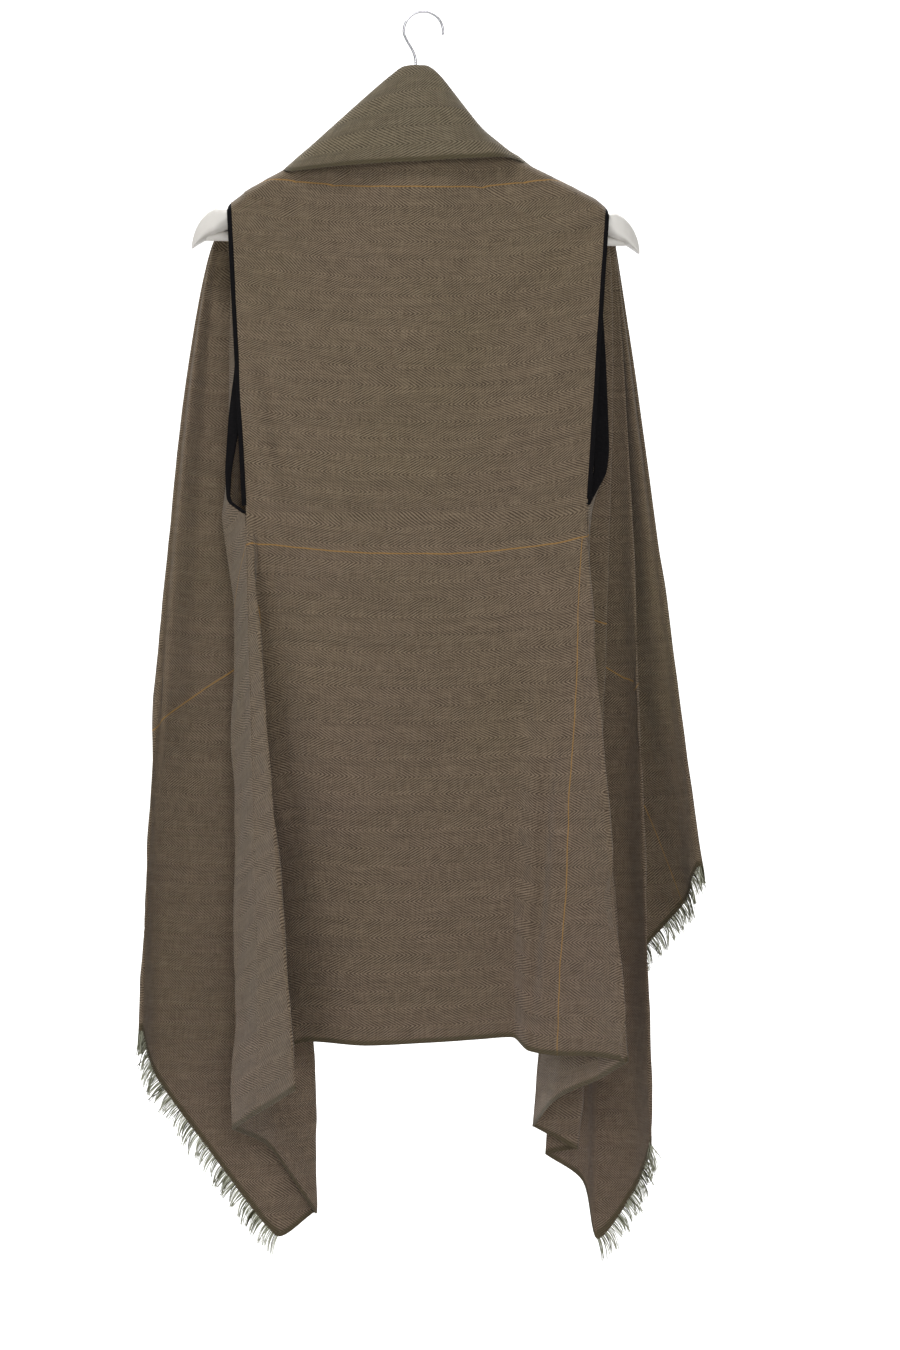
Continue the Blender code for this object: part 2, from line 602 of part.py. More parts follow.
def make_fringe(side, material):
    """A narrow strip off the cloth's frayed end, with every second face drawn out as a strand."""
    folds = LEFT_FOLDS if side == "left" else RIGHT_FOLDS
    grid, cells, _ = front_grid(side)
    corner = [fold[0] for fold in folds].index("corner")
    start = columns_before([fold[7] for fold in folds], cells, corner)
    end = grid[start:, -1]
    tangent = unit(np.gradient(end, axis=0))
    down = unit(end - grid[start:, -2])
    slant = np.linalg.norm(np.cross(down, tangent), axis=1, keepdims=True)
    stretch = 1 / np.maximum(slant, LEAST_SLANT)
    normal = surface_normals(grid)[start:, -1]
    steps = np.linalg.norm(np.diff(end, axis=0), axis=1)
    pitch = steps.sum() / (2 * STRANDS)
    places = [k + j / parts for k, parts in enumerate(np.maximum(1, np.round(steps / pitch)).astype(int))
              for j in range(parts)] + [len(steps)]

    def resample(values):
        return np.stack([np.interp(places, range(len(values)), values[:, i]) for i in range(3)], axis=-1)

    edge, normal, step = resample(end), unit(resample(normal)), resample(down * stretch)
    near = edge + step * FRINGE_GAP
    far = near + step * STRIP_WIDTH
    half = normal * WALL / 2
    vertices = list(np.stack([near + half, near - half, far - half, far + half], axis=1).reshape(-1, 3))
    last = 4 * (len(places) - 1)
    faces = [(0, 1, 2, 3), (last + 3, last + 2, last + 1, last)]
    lean = unit(unit(step) + STRAND_DROOP * np.array([0, 0, -1.0]))
    for i in range(len(places) - 1):
        a, b = 4 * i, 4 * (i + 1)
        faces += [(a, b, b + 1, a + 1), (a + 1, b + 1, b + 2, a + 2), (a + 3, b + 3, b, a)]
        root = (a + 2, b + 2, b + 3, a + 3)
        width = np.linalg.norm(edge[i + 1] - edge[i])
        if i % 2 or width < 0.6 * pitch:
            faces.append(root)
            continue
        length = STRAND_LENGTH * (0.8 + 0.2 * math.sin(1.7 * i) + 0.12 * math.sin(4.1 * i + 1))
        sway = 0.18 * math.sin(2.3 * i) * (edge[i + 1] - edge[i]) / width
        tip = (far[i] + far[i + 1]) / 2 + unit(lean[i] + sway) * length
        vertices.append(tip)
        point = len(vertices) - 1
        faces += [(root[k], root[(k + 1) % 4], point) for k in range(4)]
    return make_object("fringe_" + side, vertices, faces, material, smooth=False)


def make_bindings(side, material):
    """One tape on the back's edge of a slit and one on the front's edge."""
    grid = back_grid()
    column, neighbour = (0, 1) if side == "left" else (-1, -2)
    rows = slice(4, len(BACK_UPPER))
    edge = grid[column, rows]
    make_binding("binding_%s_back" % side, edge, unit(grid[neighbour, rows] - edge),
                 surface_normals(grid)[column, rows], material)
    front, _, _ = front_grid(side)
    rows = slice(2, len(SLIT_ROWS) - 1)
    edge = front[0, rows]
    make_binding("binding_%s_front" % side, edge, unit(front[1, rows] - edge),
                 surface_normals(front)[0, rows], material)


def build():
    clear_scene()
    cloth = make_material("wool_herringbone", (0.150, 0.118, 0.087), 0.9)
    collar_cloth = make_material("wool_inner_face", (0.140, 0.118, 0.080), 0.9)
    tape = make_material("black_binding", (0.010, 0.008, 0.009), 0.8)
    yarn = make_material("frayed_yarn", (0.30, 0.31, 0.25), 0.9)
    wood = make_material("white_painted_wood", (0.72, 0.70, 0.67), 0.4)
    chrome = make_material("chrome_wire", (0.75, 0.75, 0.76), 0.15, 1.0)
    make_back(cloth)
    make_collar(collar_cloth)
    for side in ("left", "right"):
        make_front(side, cloth)
        make_fringe(side, yarn)
        make_bindings(side, tape)
    make_hanger(wood)
    bar = make_cylinder("trouser_bar", BAR_RADIUS, BAR_HALF, wood)
    place_on_hanger(bar)
    make_hook(chrome)


build()
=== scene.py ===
"""A herringbone shawl-cape on a white hanger, seen from its back.

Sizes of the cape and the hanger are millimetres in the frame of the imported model: the origin
is the crown of the hook, +Z is up, and the garment's back faces -Y. The camera, the weave
and the studio are in metres. A place on the flat cloth is (along, down): along its length
from the centre back, and down from the collar's selvedge.
"""
import math

import bmesh
import bpy
import numpy as np
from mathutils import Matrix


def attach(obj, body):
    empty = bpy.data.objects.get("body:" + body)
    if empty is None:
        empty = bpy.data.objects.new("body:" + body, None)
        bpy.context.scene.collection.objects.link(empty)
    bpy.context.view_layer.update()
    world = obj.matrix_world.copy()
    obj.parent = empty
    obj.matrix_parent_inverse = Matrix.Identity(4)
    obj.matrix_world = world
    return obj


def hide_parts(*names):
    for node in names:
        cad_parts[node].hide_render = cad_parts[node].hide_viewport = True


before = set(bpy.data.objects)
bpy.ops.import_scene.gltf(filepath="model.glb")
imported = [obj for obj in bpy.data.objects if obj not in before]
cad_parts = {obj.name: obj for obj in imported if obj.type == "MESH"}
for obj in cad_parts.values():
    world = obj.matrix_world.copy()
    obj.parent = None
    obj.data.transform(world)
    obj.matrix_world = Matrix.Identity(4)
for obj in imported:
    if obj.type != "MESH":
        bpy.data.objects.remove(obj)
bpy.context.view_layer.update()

# --- camera ---------------------------------------------------------------------------
# A long lens level with the middle of the garment, 2.8 m behind it, as the photograph
# was taken.
CAMERA_DISTANCE = 2.8
HALF_VIEW = 0.6433          # half of the height that the picture spans at the hanger's depth

lens = bpy.data.cameras.new("camera")
lens.sensor_fit = "VERTICAL"
lens.angle = 2 * math.atan(HALF_VIEW / CAMERA_DISTANCE)
camera = bpy.data.objects.new("camera", lens)
camera.location = (0.0272, -CAMERA_DISTANCE, -0.631)
camera.rotation_euler = (math.pi / 2, 0, 0)
bpy.context.scene.collection.objects.link(camera)
bpy.context.scene.camera = camera

# --- hanger arms ----------------------------------------------------------------------
# Both arms are one piece of beech, turned, bent a little forward at the ends and sprayed
# with a satin warm white. The ends are broad and round to carry a shoulder.
MM = 0.001
HANGER_X = -5.4
HANGER_PIVOT = -200.0
TILT = math.radians(0.72)
ARM_CURVE = 15.0
ARM_TIP = 214.4
ARM_BROAD = 190.0           # from here to the tip the sections change quickly
ARM_SIDES = 40
ARM_ROUNDNESS = [(0, 0.85), (183, 0.85), (189, 0.45), (214.4, 0.45)]     # 1 is an ellipse
# distance from the middle, top, bottom, half of the depth
ARM_SECTIONS = [
    (0, -92, -134, 7.0),
    (30, -100, -140, 7.5),
    (60, -119, -153, 9.0),
    (100, -143.8, -172, 12.5),
    (136, -159.5, -187, 16.5),
    (158, -172.5, -197, 19.5),
    (175, -184.5, -205, 21.5),
    (183, -186.5, -209, 21.5),
    (190, -187.8, -211.5, 21.5),
    (198, -192.0, -214, 19.5),
    (205, -198.5, -218.5, 15.5),
    (210, -206.0, -222, 10.5),
    (213.4, -214.5, -225, 5.5),
    (214.4, -219.5, -225.5, 2.0),
]


def unit(vectors):
    """The vectors scaled to the length 1."""
    return vectors / np.maximum(np.linalg.norm(vectors, axis=-1, keepdims=True), 1e-12)


def square_to(vectors, axes):
    """The direction of what is left of vectors after their share along unit axes is taken."""
    return unit(vectors - np.sum(vectors * axes, axis=-1, keepdims=True) * axes)


def reach_along(points):
    """Each point's distance from the first of a polyline, measured along the line."""
    steps = np.linalg.norm(np.diff(points, axis=0), axis=1)
    return np.concatenate([[0.0], np.cumsum(steps)])


def points_at(at, reach, points):
    """Points of a polyline at distances along it; reach holds those of its own points."""
    columns = [np.interp(at, reach, points[:, k]) for k in range(points.shape[1])]
    return np.stack(columns, axis=-1)


def read_table(table, at):
    """Rows of a table, the first column being the place, read at several places."""
    rows = np.array(table, float)
    return points_at(at, rows[:, 0], rows[:, 1:])


def soften(values, times, axis=0):
    """Each inner value becomes a quarter of both neighbours plus half of itself, repeated."""
    values = np.moveaxis(values, axis, 0).copy()
    for _ in range(times):
        values[1:-1] = (values[:-2] + 2 * values[1:-1] + values[2:]) / 4
    return np.moveaxis(values, 0, axis)


def on_hanger(points):
    """From the hanger's own frame to the row's: the hanger tilts about a point of its middle."""
    x, y, z = np.moveaxis(points, -1, 0)
    centre = HANGER_X - HANGER_PIVOT * math.sin(TILT)
    return np.stack([centre + x * math.cos(TILT) + z * math.sin(TILT), y,
                     z * math.cos(TILT) - x * math.sin(TILT)], axis=-1)


def add_mesh(name, points_mm, faces, material):
    """A smooth mesh object at the origin from points in millimetres."""
    mesh = bpy.data.meshes.new(name)
    mesh.from_pydata((np.asarray(points_mm, float) * MM).tolist(), [], faces)
    mesh.polygons.foreach_set("use_smooth", np.ones(len(mesh.polygons), bool))
    mesh.materials.append(material)
    mesh.update()
    piece = bpy.data.objects.new(name, mesh)
    bpy.context.scene.collection.objects.link(piece)
    return piece


def ring_angles(sides):
    """The angles at which a ring of so many sides has its corners."""
    return np.linspace(0, 2 * np.pi, sides, endpoint=False)


def squarer(values, power):
    """Cosines or sines to a power below 1, which turns a round section into a squarer one."""
    return np.sign(values) * np.abs(values) ** power


def tube_faces(rings, sides):
    """Quads between rings of points, and a fan of the first and last ring's corners as ends."""
    ring, side = np.meshgrid(np.arange(rings - 1), np.arange(sides), indexing="ij")
    a = (ring * sides + side).ravel()
    b = (ring * sides + (side + 1) % sides).ravel()
    quads = np.stack([a, b, b + sides, a + sides], axis=1).tolist()
    return quads + [list(range(sides))[::-1], [(rings - 1) * sides + k for k in range(sides)]]


def face_outward(piece):
    """Recalculates the winding of a closed mesh so that its faces point outwards."""
    shell = bmesh.new()
    shell.from_mesh(piece.data)
    bmesh.ops.recalc_face_normals(shell, faces=shell.faces)
    shell.to_mesh(piece.data)
    shell.free()


def add_tube(name, rings, material):
    """A closed mesh through rings of points with the shape (ring, corner, xyz)."""
    tube = add_mesh(name, rings.reshape(-1, 3), tube_faces(*rings.shape[:2]), material)
    face_outward(tube)
    return tube


class Finish:
    """A material under way. An input is another node's output, or else a constant that is
    set on the socket itself."""

    def __init__(self, name):
        self.material = bpy.data.materials.new(name)
        self.material.use_nodes = True
        self.tree = self.material.node_tree

    def plug(self, made, inputs):
        """Fills sockets of a node, each by its name or number."""
        for key, value in inputs.items():
            if hasattr(value, "is_output"):
                self.tree.links.new(value, made.inputs[key])
            else:
                made.inputs[key].default_value = value

    def node(self, kind, inputs=None, **settings):
        """Adds a node and returns its outputs."""
        made = self.tree.nodes.new(kind)
        for key, value in settings.items():
            setattr(made, key, value)
        self.plug(made, inputs or {})
        return made.outputs

    def noise(self, place, scale, detail, output=0):
        """Noise about 0.5 at a place, with so many waves to the metre."""
        inputs = {"Vector": place, "Scale": scale, "Detail": detail}
        return self.node("ShaderNodeTexNoise", inputs)[output]

    def spread(self, value, low, high, to_low=0.0, to_high=1.0):
        """The range from low to high carried over to another range, and held at its ends."""
        inputs = {"Value": value, "From Min": low, "From Max": high,
                  "To Min": to_low, "To Max": to_high}
        return self.node("ShaderNodeMapRange", inputs)["Result"]

    def ramp(self, value, *stops):
        """A colour that runs from stop to stop, each a position and its colour."""
        outputs = self.node("ShaderNodeValToRGB", {"Fac": value})
        elements = self.tree.nodes[-1].color_ramp.elements
        for k, (position, colour) in enumerate(stops):
            element = elements[k] if k < len(elements) else elements.new(position)
            element.position, element.color = position, colour
        return outputs["Color"]

    def wave(self, coordinate, per_metre):
        """The sine of a coordinate, with so many radians to the metre."""
        angle = self.node("ShaderNodeMath", {0: coordinate, 1: per_metre}, operation="MULTIPLY")[0]
        return self.node("ShaderNodeMath", {0: angle}, operation="SINE")[0]

    def bump(self, height, strength, distance):
        """A normal tilted by a height of 0 to 1, which stands for a distance in metres."""
        inputs = {"Height": height, "Strength": strength, "Distance": distance}
        return self.node("ShaderNodeBump", inputs)["Normal"]

    def shade(self, inputs):
        """Fills the shader's own sockets and returns the material."""
        self.plug(self.tree.nodes["Principled BSDF"], inputs)
        return self.material


def srgb(red, green, blue):
    """A colour of 0 to 255 display levels as linear light."""
    levels = np.array([red, green, blue], float) / 255
    linear = np.where(levels <= 0.04045, levels / 12.92, ((levels + 0.055) / 1.055) ** 2.4)
    return (*linear, 1.0)


def satin_paint():
    """Warm white sprayed paint: faint orange peel in the gloss and a slow change of its tone."""
    paint = Finish("satin_white_paint")
    place = paint.node("ShaderNodeTexCoord")["Object"]
    haze = paint.noise(place, 22.0, 3.0)
    tones = (0.3, srgb(210, 206, 200)), (0.7, srgb(218, 215, 209))
    return paint.shade({
        "Base Color": paint.ramp(haze, *tones),
        "Normal": paint.bump(paint.noise(place, 900.0, 2.0), 0.12, 0.0002),
        "Roughness": 0.36,
    })


def arm_section(distance):
    """Top, bottom, half depth and middle depth of the arm at a distance from its middle."""
    top, bottom, half = np.moveaxis(read_table(ARM_SECTIONS, np.abs(distance)), -1, 0)
    return top, bottom, half, ARM_CURVE * (np.abs(distance) / ARM_TIP) ** 2


def make_arms(material):
    """Rounded-square sections at close stations from tip to tip: each is its middle plus half
    of its depth and height times the cosine and sine, made squarer."""
    half = np.concatenate([np.linspace(0, ARM_BROAD, 60)[1:],
                           np.linspace(ARM_BROAD, ARM_TIP, 22)[1:]])
    distance = np.concatenate([-half[::-1], [0], half])
    top, bottom, depth_half, depth = (soften(values, 2) for values in arm_section(distance))
    angles = ring_angles(ARM_SIDES)
    power = read_table(ARM_ROUNDNESS, np.abs(distance))
    swing, lift = squarer(np.cos(angles), power), squarer(np.sin(angles), power)
    rings = np.stack([np.repeat(distance[:, None], ARM_SIDES, 1),
                      depth[:, None] + depth_half[:, None] * swing,
                      (top + bottom)[:, None] / 2 + (top - bottom)[:, None] / 2 * lift], axis=-1)
    return add_tube("arms", on_hanger(rings), material)


white_paint = satin_paint()
arms = make_arms(white_paint)
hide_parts("hanger_arms")
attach(arms, "root")

# --- trouser bar ----------------------------------------------------------------------
# A straight turned rod in the same paint, let into the underside of both arms' ends.
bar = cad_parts["trouser_bar"]
bar.data.materials.clear()
bar.data.materials.append(white_paint)

# --- hook -----------------------------------------------------------------------------
# One length of chromed steel wire, bent to a round hook that runs in an S into an upright
# stem; the stem is screwed into the middle of the arms.
HOOK_WIRE = 1.3
HOOK_RADIUS = 18.8
HOOK_CENTRE = (1.8, -17.5)
HOOK_BEND = (-12, 186)      # degrees: the tip, and where the round part runs into the S
HOOK_STEM = [(-14.4, -25.6), (-11.4, -30.6), (-7.8, -36.9), (-5.6, -43.4), (-5.4, -52.0),
             (-5.4, -91.0)]
HOOK_RINGS = 150
HOOK_SIDES = 16


def chrome():
    """Bright plating with faint draw lines along the wire."""
    plating = Finish("chrome_wire")
    lines = plating.noise(plating.node("ShaderNodeTexCoord")["Object"], 400.0, 3.0)
    return plating.shade({
        "Base Color": srgb(176, 176, 180),
        "Metallic": 1.0,
        "Roughness": plating.spread(lines, 0.0, 1.0, 0.12, 0.26),
    })


def make_hook(material):
    """A circle carried along the wire's centreline, with a ball end at the hook's tip."""
    turn = np.linspace(*np.radians(HOOK_BEND), 60)
    bend = np.array(HOOK_CENTRE) + HOOK_RADIUS * np.stack([np.cos(turn), np.sin(turn)], axis=1)
    path = np.concatenate([bend, HOOK_STEM])
    reach = reach_along(path)
    at = np.linspace(0, reach[-1], HOOK_RINGS)
    path = soften(points_at(at, reach, path), 5)
    heading = unit(np.gradient(path, axis=0))
    radius = HOOK_WIRE * np.sqrt(np.clip(1 - (1 - at / HOOK_WIRE).clip(0) ** 2, 0.02, 1))
    angles = ring_angles(HOOK_SIDES)
    side = np.stack([-heading[:, 1], heading[:, 0]], axis=1)
    across = radius[:, None] * np.cos(angles)
    rings = np.stack([path[:, :1] + side[:, :1] * across, radius[:, None] * np.sin(angles),
                      path[:, 1:] + side[:, 1:] * across], axis=-1)
    return add_tube("hook_wire", rings, material)


hook = make_hook(chrome())
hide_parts("hook")
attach(hook, "root")

# --- back of the cape -----------------------------------------------------------------
# The middle of one rectangle of wool twill hangs over the hanger's shoulders and down
# between the armhole slits to the hem; below the slits it swings back into a hanging fold
# on each side. It is woven in herringbone bands that lie across the back.
CLOTH_MM = 0.9
GUARD = 0.3
SLIT_ALONG = 176.0
SLIT_TOP = 229.0
SLIT_FOOT = 526.0
CLOTH_DOWN = 1020.0
SAG = 12.0                  # the middle of the back hangs this much lower than the slits
SAG_HALF = 165.0
BEND = 1.15
ARM_CLEARANCE = 3.0
ARM_WRAP = 11.0
RIDGE_PART = 0.4
# x, depth and height of the ridge over which the cloth lies
RIDGE = [
    (-181, 10.0, -180.0),
    (-164, 9.0, -166.8),
    (-142, 7.0, -155.3),
    (-125, 4.0, -147.0),
    (-87, -6.0, -116.5),
    (-49, -14.0, -84.0),
    (-28, -17.5, -66.0),
    (-16, -18.5, -58.5),
    (-1, -18.8, -57.5),
    (8, -18.5, -59.3),
    (19, -17.5, -69.0),
    (37, -14.0, -91.5),
    (56, -10.0, -114.5),
    (72, -6.0, -127.2),
    (95, 0.0, -142.0),
    (118, 5.0, -152.6),
    (147, 8.0, -166.8),
    (166, 10.0, -177.0),
    (175, 11.0, -184.5),
]
# the level of the slits' feet: along, x, depth, height
BACK_FOOT = [
    (-176, -166, -13, -479),
    (-140, -137, -15, -479),
    (-60, -58, -18, -480),
    (0, -1, -19, -480),
    (60, 55, -18, -480),
    (140, 125, -16, -476),
    (176, 157, -13, -472),
]
# the hem: along, x, depth, height, roundness or 0 where it turns back, share across the feet
BACK_HEM = [
    (-465, -148, -64, -1037, 0.90, 0.00),
    (-390, -114, -105, -1012, 0, 0.012),
    (-228, -151, 10, -1002, 0, 0.035),
    (-118, -112, -16, -979, 0.80, 0.10),
    (-50, -53, -36, -980, 0.90, 0.30),
    (10, 8, -30, -978, 0.90, 0.50),
    (58, 55, -20, -976, 0.90, 0.68),
    (92, 88, -14, -975, 0.80, 0.80),
    (130, 101, -31, -985, 0.80, 0.86),
    (172, 126, -44, -988, 0.80, 0.92),
    (214, 159, -66, -986, 0.90, 0.965),
    (285, 192, -95, -987, 0, 0.988),
    (345, 166, -62, -1008, 0.90, 1.00),
]
# the weave, in metres on the cloth
BAND = 0.017
TWILL_PITCH = 0.0021
TWILL_SLOPE = math.radians(30)
WANDER = 0.0022             # how far the threads stray from straight lines
THREAD_NOISE = 0.75
OCHRE_HALF = 0.0006
OCHRE_DOWN = (0.2025, 0.551)
OCHRE_ALONG = 0.1745
EDGE_HALF = 0.003
EDGE_ALONG = 0.7645
EDGES_DOWN = (1.0185, 0.0015)
OCHRE = srgb(150, 113, 58)
SELVEDGE = srgb(66, 58, 38)
OLIVE = (0.97, 1.0, 0.92, 1.0)
# painted shade: from halfway down to the hem the cloth's colour is multiplied darker and a little
# mauve; the darkening stands for the lesser light on the lower part, the mauve is a tone of the
# cloth
LOWER_SHADE_TINT = (0.97, 0.94, 1.0, 1.0)


def herringbone(name, light, dark, tint, contrast):
    """Wool twill on two maps in metres. The map "weave" follows the surface and carries the
    yarns: a triangle wave of its second coordinate folds slanted sine lines into bands, and
    noise stretched along weft and warp breaks them up. The map "cloth" is the place on the
    cut, (along, down): fine ochre threads run both ways on it, the edges are a darker green,
    and slow noise clouds the colour."""
    twill = Finish(name)

    def maths(operation, a, b=0.0, c=0.0):
        return twill.node("ShaderNodeMath", {0: a, 1: b, 2: c}, operation=operation)[0]

    def vector(operation, a, b):
        return twill.node("ShaderNodeVectorMath", {0: a, 1: b}, operation=operation)[0]

    def mix(factor, a, b, blend="MIX"):
        inputs = {0: factor, 6: a, 7: b}
        return twill.node("ShaderNodeMix", inputs, data_type="RGBA", blend_type=blend)[2]

    def tinted(factor, colour, by):
        return mix(factor, colour, mix(1.0, colour, by, "MULTIPLY"))

    def stretched(along, down, detail):
        return twill.noise(vector("MULTIPLY", yarns, (along, down, 1.0)), 1.0, detail)

    def stripe(coordinate, at, half):
        near = maths("ABSOLUTE", maths("SUBTRACT", coordinate, at))
        return twill.spread(near, half * 0.6, half * 1.4, 1.0, 0.0)

    place = twill.node("ShaderNodeUVMap", uv_map="cloth")["UV"]
    yarns = twill.node("ShaderNodeUVMap", uv_map="weave")["UV"]
    shift = vector("SUBTRACT", twill.noise(place, 35.0, 2.0, "Color"), (0.5, 0.5, 0.5))
    shift = vector("MULTIPLY", shift, (WANDER, WANDER, 0.0))
    place, yarns = vector("ADD", place, shift), vector("ADD", yarns, shift)
    cut, woven = (twill.node("ShaderNodeSeparateXYZ", {0: at}) for at in (place, yarns))
    along, down = maths("ABSOLUTE", cut[0]), cut[1]

    # slanted lines in bands, stronger in some patches, and single uneven threads across
    across = maths("SUBTRACT",
                   maths("MULTIPLY", maths("PINGPONG", woven[1], BAND), math.cos(TWILL_SLOPE)),
                   maths("MULTIPLY", woven[0], math.sin(TWILL_SLOPE)))
    wave = maths("SINE", maths("MULTIPLY", across, 2 * math.pi / TWILL_PITCH))
    line = maths("MULTIPLY_ADD", wave, 0.5, 0.5)
    weft, warp = stretched(45.0, 700.0, 2.0), stretched(700.0, 60.0, 2.0)
    depth = twill.spread(twill.noise(place, 90.0, 2.0), 0.35, 0.65, 0.45 * contrast, contrast)
    line = maths("MULTIPLY_ADD", maths("SUBTRACT", line, 0.5), depth, 0.5)
    thread = maths("ADD", maths("SUBTRACT", weft, 0.5), maths("SUBTRACT", warp, 0.5))
    shade = twill.node("ShaderNodeClamp", {0: maths("MULTIPLY_ADD", thread, THREAD_NOISE, line)})[0]
    streak = twill.spread(stretched(5.0, 160.0, 3.0), 0.3, 0.7, 0.90, 1.08)
    streak = twill.node("ShaderNodeCombineColor", {0: streak, 1: streak, 2: streak})[0]
    colour = mix(1.0, mix(shade, dark, light), streak, "MULTIPLY")
    colour = tinted(twill.spread(twill.noise(place, 4.0, 3.0), 0.35, 0.65), colour, tint)
    # painted shade towards the hem: the colour darkens and turns a little mauve from halfway down
    # the cloth
    colour = tinted(twill.spread(down, 0.45, 0.95), colour, LOWER_SHADE_TINT)

    # the ochre threads beside the slits start at the lower one that runs across
    ochre = maths("MAXIMUM", *(stripe(down, at, OCHRE_HALF) for at in OCHRE_DOWN))
    below = twill.spread(down, OCHRE_DOWN[1] - 0.002, OCHRE_DOWN[1] + 0.002)
    upright = maths("MULTIPLY", below, stripe(along, OCHRE_ALONG, OCHRE_HALF))
    ochre = maths("MAXIMUM", ochre, upright)
    edge = stripe(along, EDGE_ALONG, EDGE_HALF)
    for at in EDGES_DOWN:
        edge = maths("MAXIMUM", edge, stripe(down, at, EDGE_HALF))
    colour = mix(maths("MULTIPLY", ochre, 0.8), colour, OCHRE)
    return twill.shade({
        "Base Color": mix(maths("MULTIPLY", edge, 0.8), colour, SELVEDGE),
        "Normal": twill.bump(maths("MULTIPLY_ADD", thread, 0.5, line), 0.8, 0.0006),
        "Roughness": 0.92,
        "Specular IOR Level": 0.15,
        "Sheen Weight": 0.12,
        "Sheen Roughness": 0.6,
    })


wool = herringbone("wool_herringbone", srgb(129, 113, 94), srgb(66, 53, 41), OLIVE, 1.2)


def turn_points(arrive, tip, leave):
    """Four further points of the parabola from arrive to leave that passes through the tip."""
    pull = 2 * tip - (arrive + leave) / 2
    return [(1 - u) ** 2 * arrive + 2 * u * (1 - u) * pull + u * u * leave
            for u in (0.17, 0.34, 0.66, 0.83)]


def across_folds(lines, roundness, cells, before, after):
    """A surface through neighbouring fold lines, and each column's place among the folds.

    lines is (fold, row, xyz). Between two folds each row is a cubic. At a fold of the
    roundness 0 the cloth turns back in a round bend of the radius BEND, square to the fold
    line; at any other fold it runs on with the mean heading of the two spans.
    """
    framed = np.concatenate([before[None], lines, after[None]])
    steps = np.diff(framed, axis=0)
    lengths = np.linalg.norm(steps, axis=-1, keepdims=True)
    headings = steps / np.maximum(lengths, 1e-9)
    arrive, leave, slopes = lines.copy(), lines.copy(), np.zeros_like(lines)
    for fold, soft in enumerate(roundness):
        back, on = -headings[fold], headings[fold + 1]
        if soft:
            spans = [span for span in (lengths[fold], lengths[fold + 1]) if span.max() > 1e-6]
            slopes[fold] = (on - back) / 2 * np.minimum.reduce(spans) * soft
            continue
        room = np.minimum(BEND, 0.3 * np.minimum(lengths[fold], lengths[fold + 1]))
        run = unit(np.gradient(lines[fold], axis=0))
        back, on = square_to(back, run), square_to(on, run)
        inward, sideways = unit(back + on), unit(on - back)
        half_turn = np.arctan2(np.linalg.norm(on - back, axis=-1, keepdims=True),
                               np.linalg.norm(back + on, axis=-1, keepdims=True))
        wide = np.maximum(half_turn, math.pi / 4)
        deep, broad = np.cos(wide) * inward, np.sin(wide) * sideways
        arrive[fold] = lines[fold] + math.sqrt(2) * room * (deep - broad)
        leave[fold] = lines[fold] + math.sqrt(2) * room * (deep + broad)
    columns, tips = [], []
    for fold in range(len(lines)):
        if roundness[fold]:
            tips.append(len(columns))
            columns.append(lines[fold])
        else:
            round_it = turn_points(arrive[fold], lines[fold], leave[fold])
            tips.append(len(columns) + 3)
            columns += [arrive[fold], *round_it[:2], lines[fold], *round_it[2:], leave[fold]]
        if fold == len(lines) - 1:
            break
        start, end = leave[fold], arrive[fold + 1]
        out = slopes[fold] if roundness[fold] else end - start
        into = slopes[fold + 1] if roundness[fold + 1] else end - start
        for u in np.arange(1, cells[fold]) / cells[fold]:
            columns.append(start * (2 * u**3 - 3 * u**2 + 1) + out * (u**3 - 2 * u**2 + u)
                           + end * (3 * u**2 - 2 * u**3) + into * (u**3 - u**2))
    columns = np.array(columns)
    steps = np.linalg.norm(np.diff(columns, axis=0), axis=-1).mean(axis=1)
    reach = np.concatenate([[0.0], np.cumsum(steps)])
    return columns, np.interp(reach, reach[tips], np.arange(len(tips)))


def surface_normals(grid):
    """Unit normals of a grid of points with the shape (column, row, xyz)."""
    return unit(np.cross(np.gradient(grid, axis=0), np.gradient(grid, axis=1)))


def arm_face(x, side):
    """Depth of the cloth that passes the arm's rear (side -1) or front (side 1) at x."""
    _, _, half, middle = arm_section(np.asarray(x, float) - HANGER_X)
    return middle + side * (half + ARM_CLEARANCE)


def rounding(drop, reach):
    """A quarter of an ellipse, from 0 on the ridge to 1 where the cloth hangs free."""
    part = np.clip(drop / reach, 0.0, 1.0)
    return np.sqrt(1 - (1 - part) ** 2)


def with_guards(values, grid, axis):
    """The grid's values with one more line close inside both borders across an axis, so that
    the rounding of the wall's smooth shading at its rim stays there."""
    values, points = np.moveaxis(values, axis, 0), np.moveaxis(grid, axis, 0)
    first, last = (GUARD / np.maximum(np.linalg.norm(a - b, axis=-1, keepdims=True), 2 * GUARD)
                   for a, b in ((points[0], points[1]), (points[-1], points[-2])))
    near = values[0] + (values[1] - values[0]) * first
    far = values[-1] + (values[-2] - values[-1]) * last
    guarded = np.concatenate([values[:1], near[None], values[1:-1], far[None], values[-1:]])
    return np.moveaxis(guarded, 0, axis)


def add_map(piece, name, pairs):
    """A UV map of a piece from a pair of values for each of its points."""
    corner = np.empty(len(piece.data.loops), dtype=np.int64)
    piece.data.loops.foreach_get("vertex_index", corner)
    layer = piece.data.uv_layers.new(name=name)
    layer.data.foreach_set("uv", pairs.reshape(-1, 2)[corner].ravel())


def even_weave(grid, flat_mm):
    """The distance along each row from its middle column, with the down coordinate: the
    weave keeps its real size where the folds hold less width than the cut."""
    steps = np.linalg.norm(np.diff(grid, axis=0), axis=-1)
    reach = np.concatenate([np.zeros((1, grid.shape[1])), np.cumsum(steps, axis=0)])
    return np.stack([reach - reach[len(reach) // 2], flat_mm[..., 1]], axis=-1)


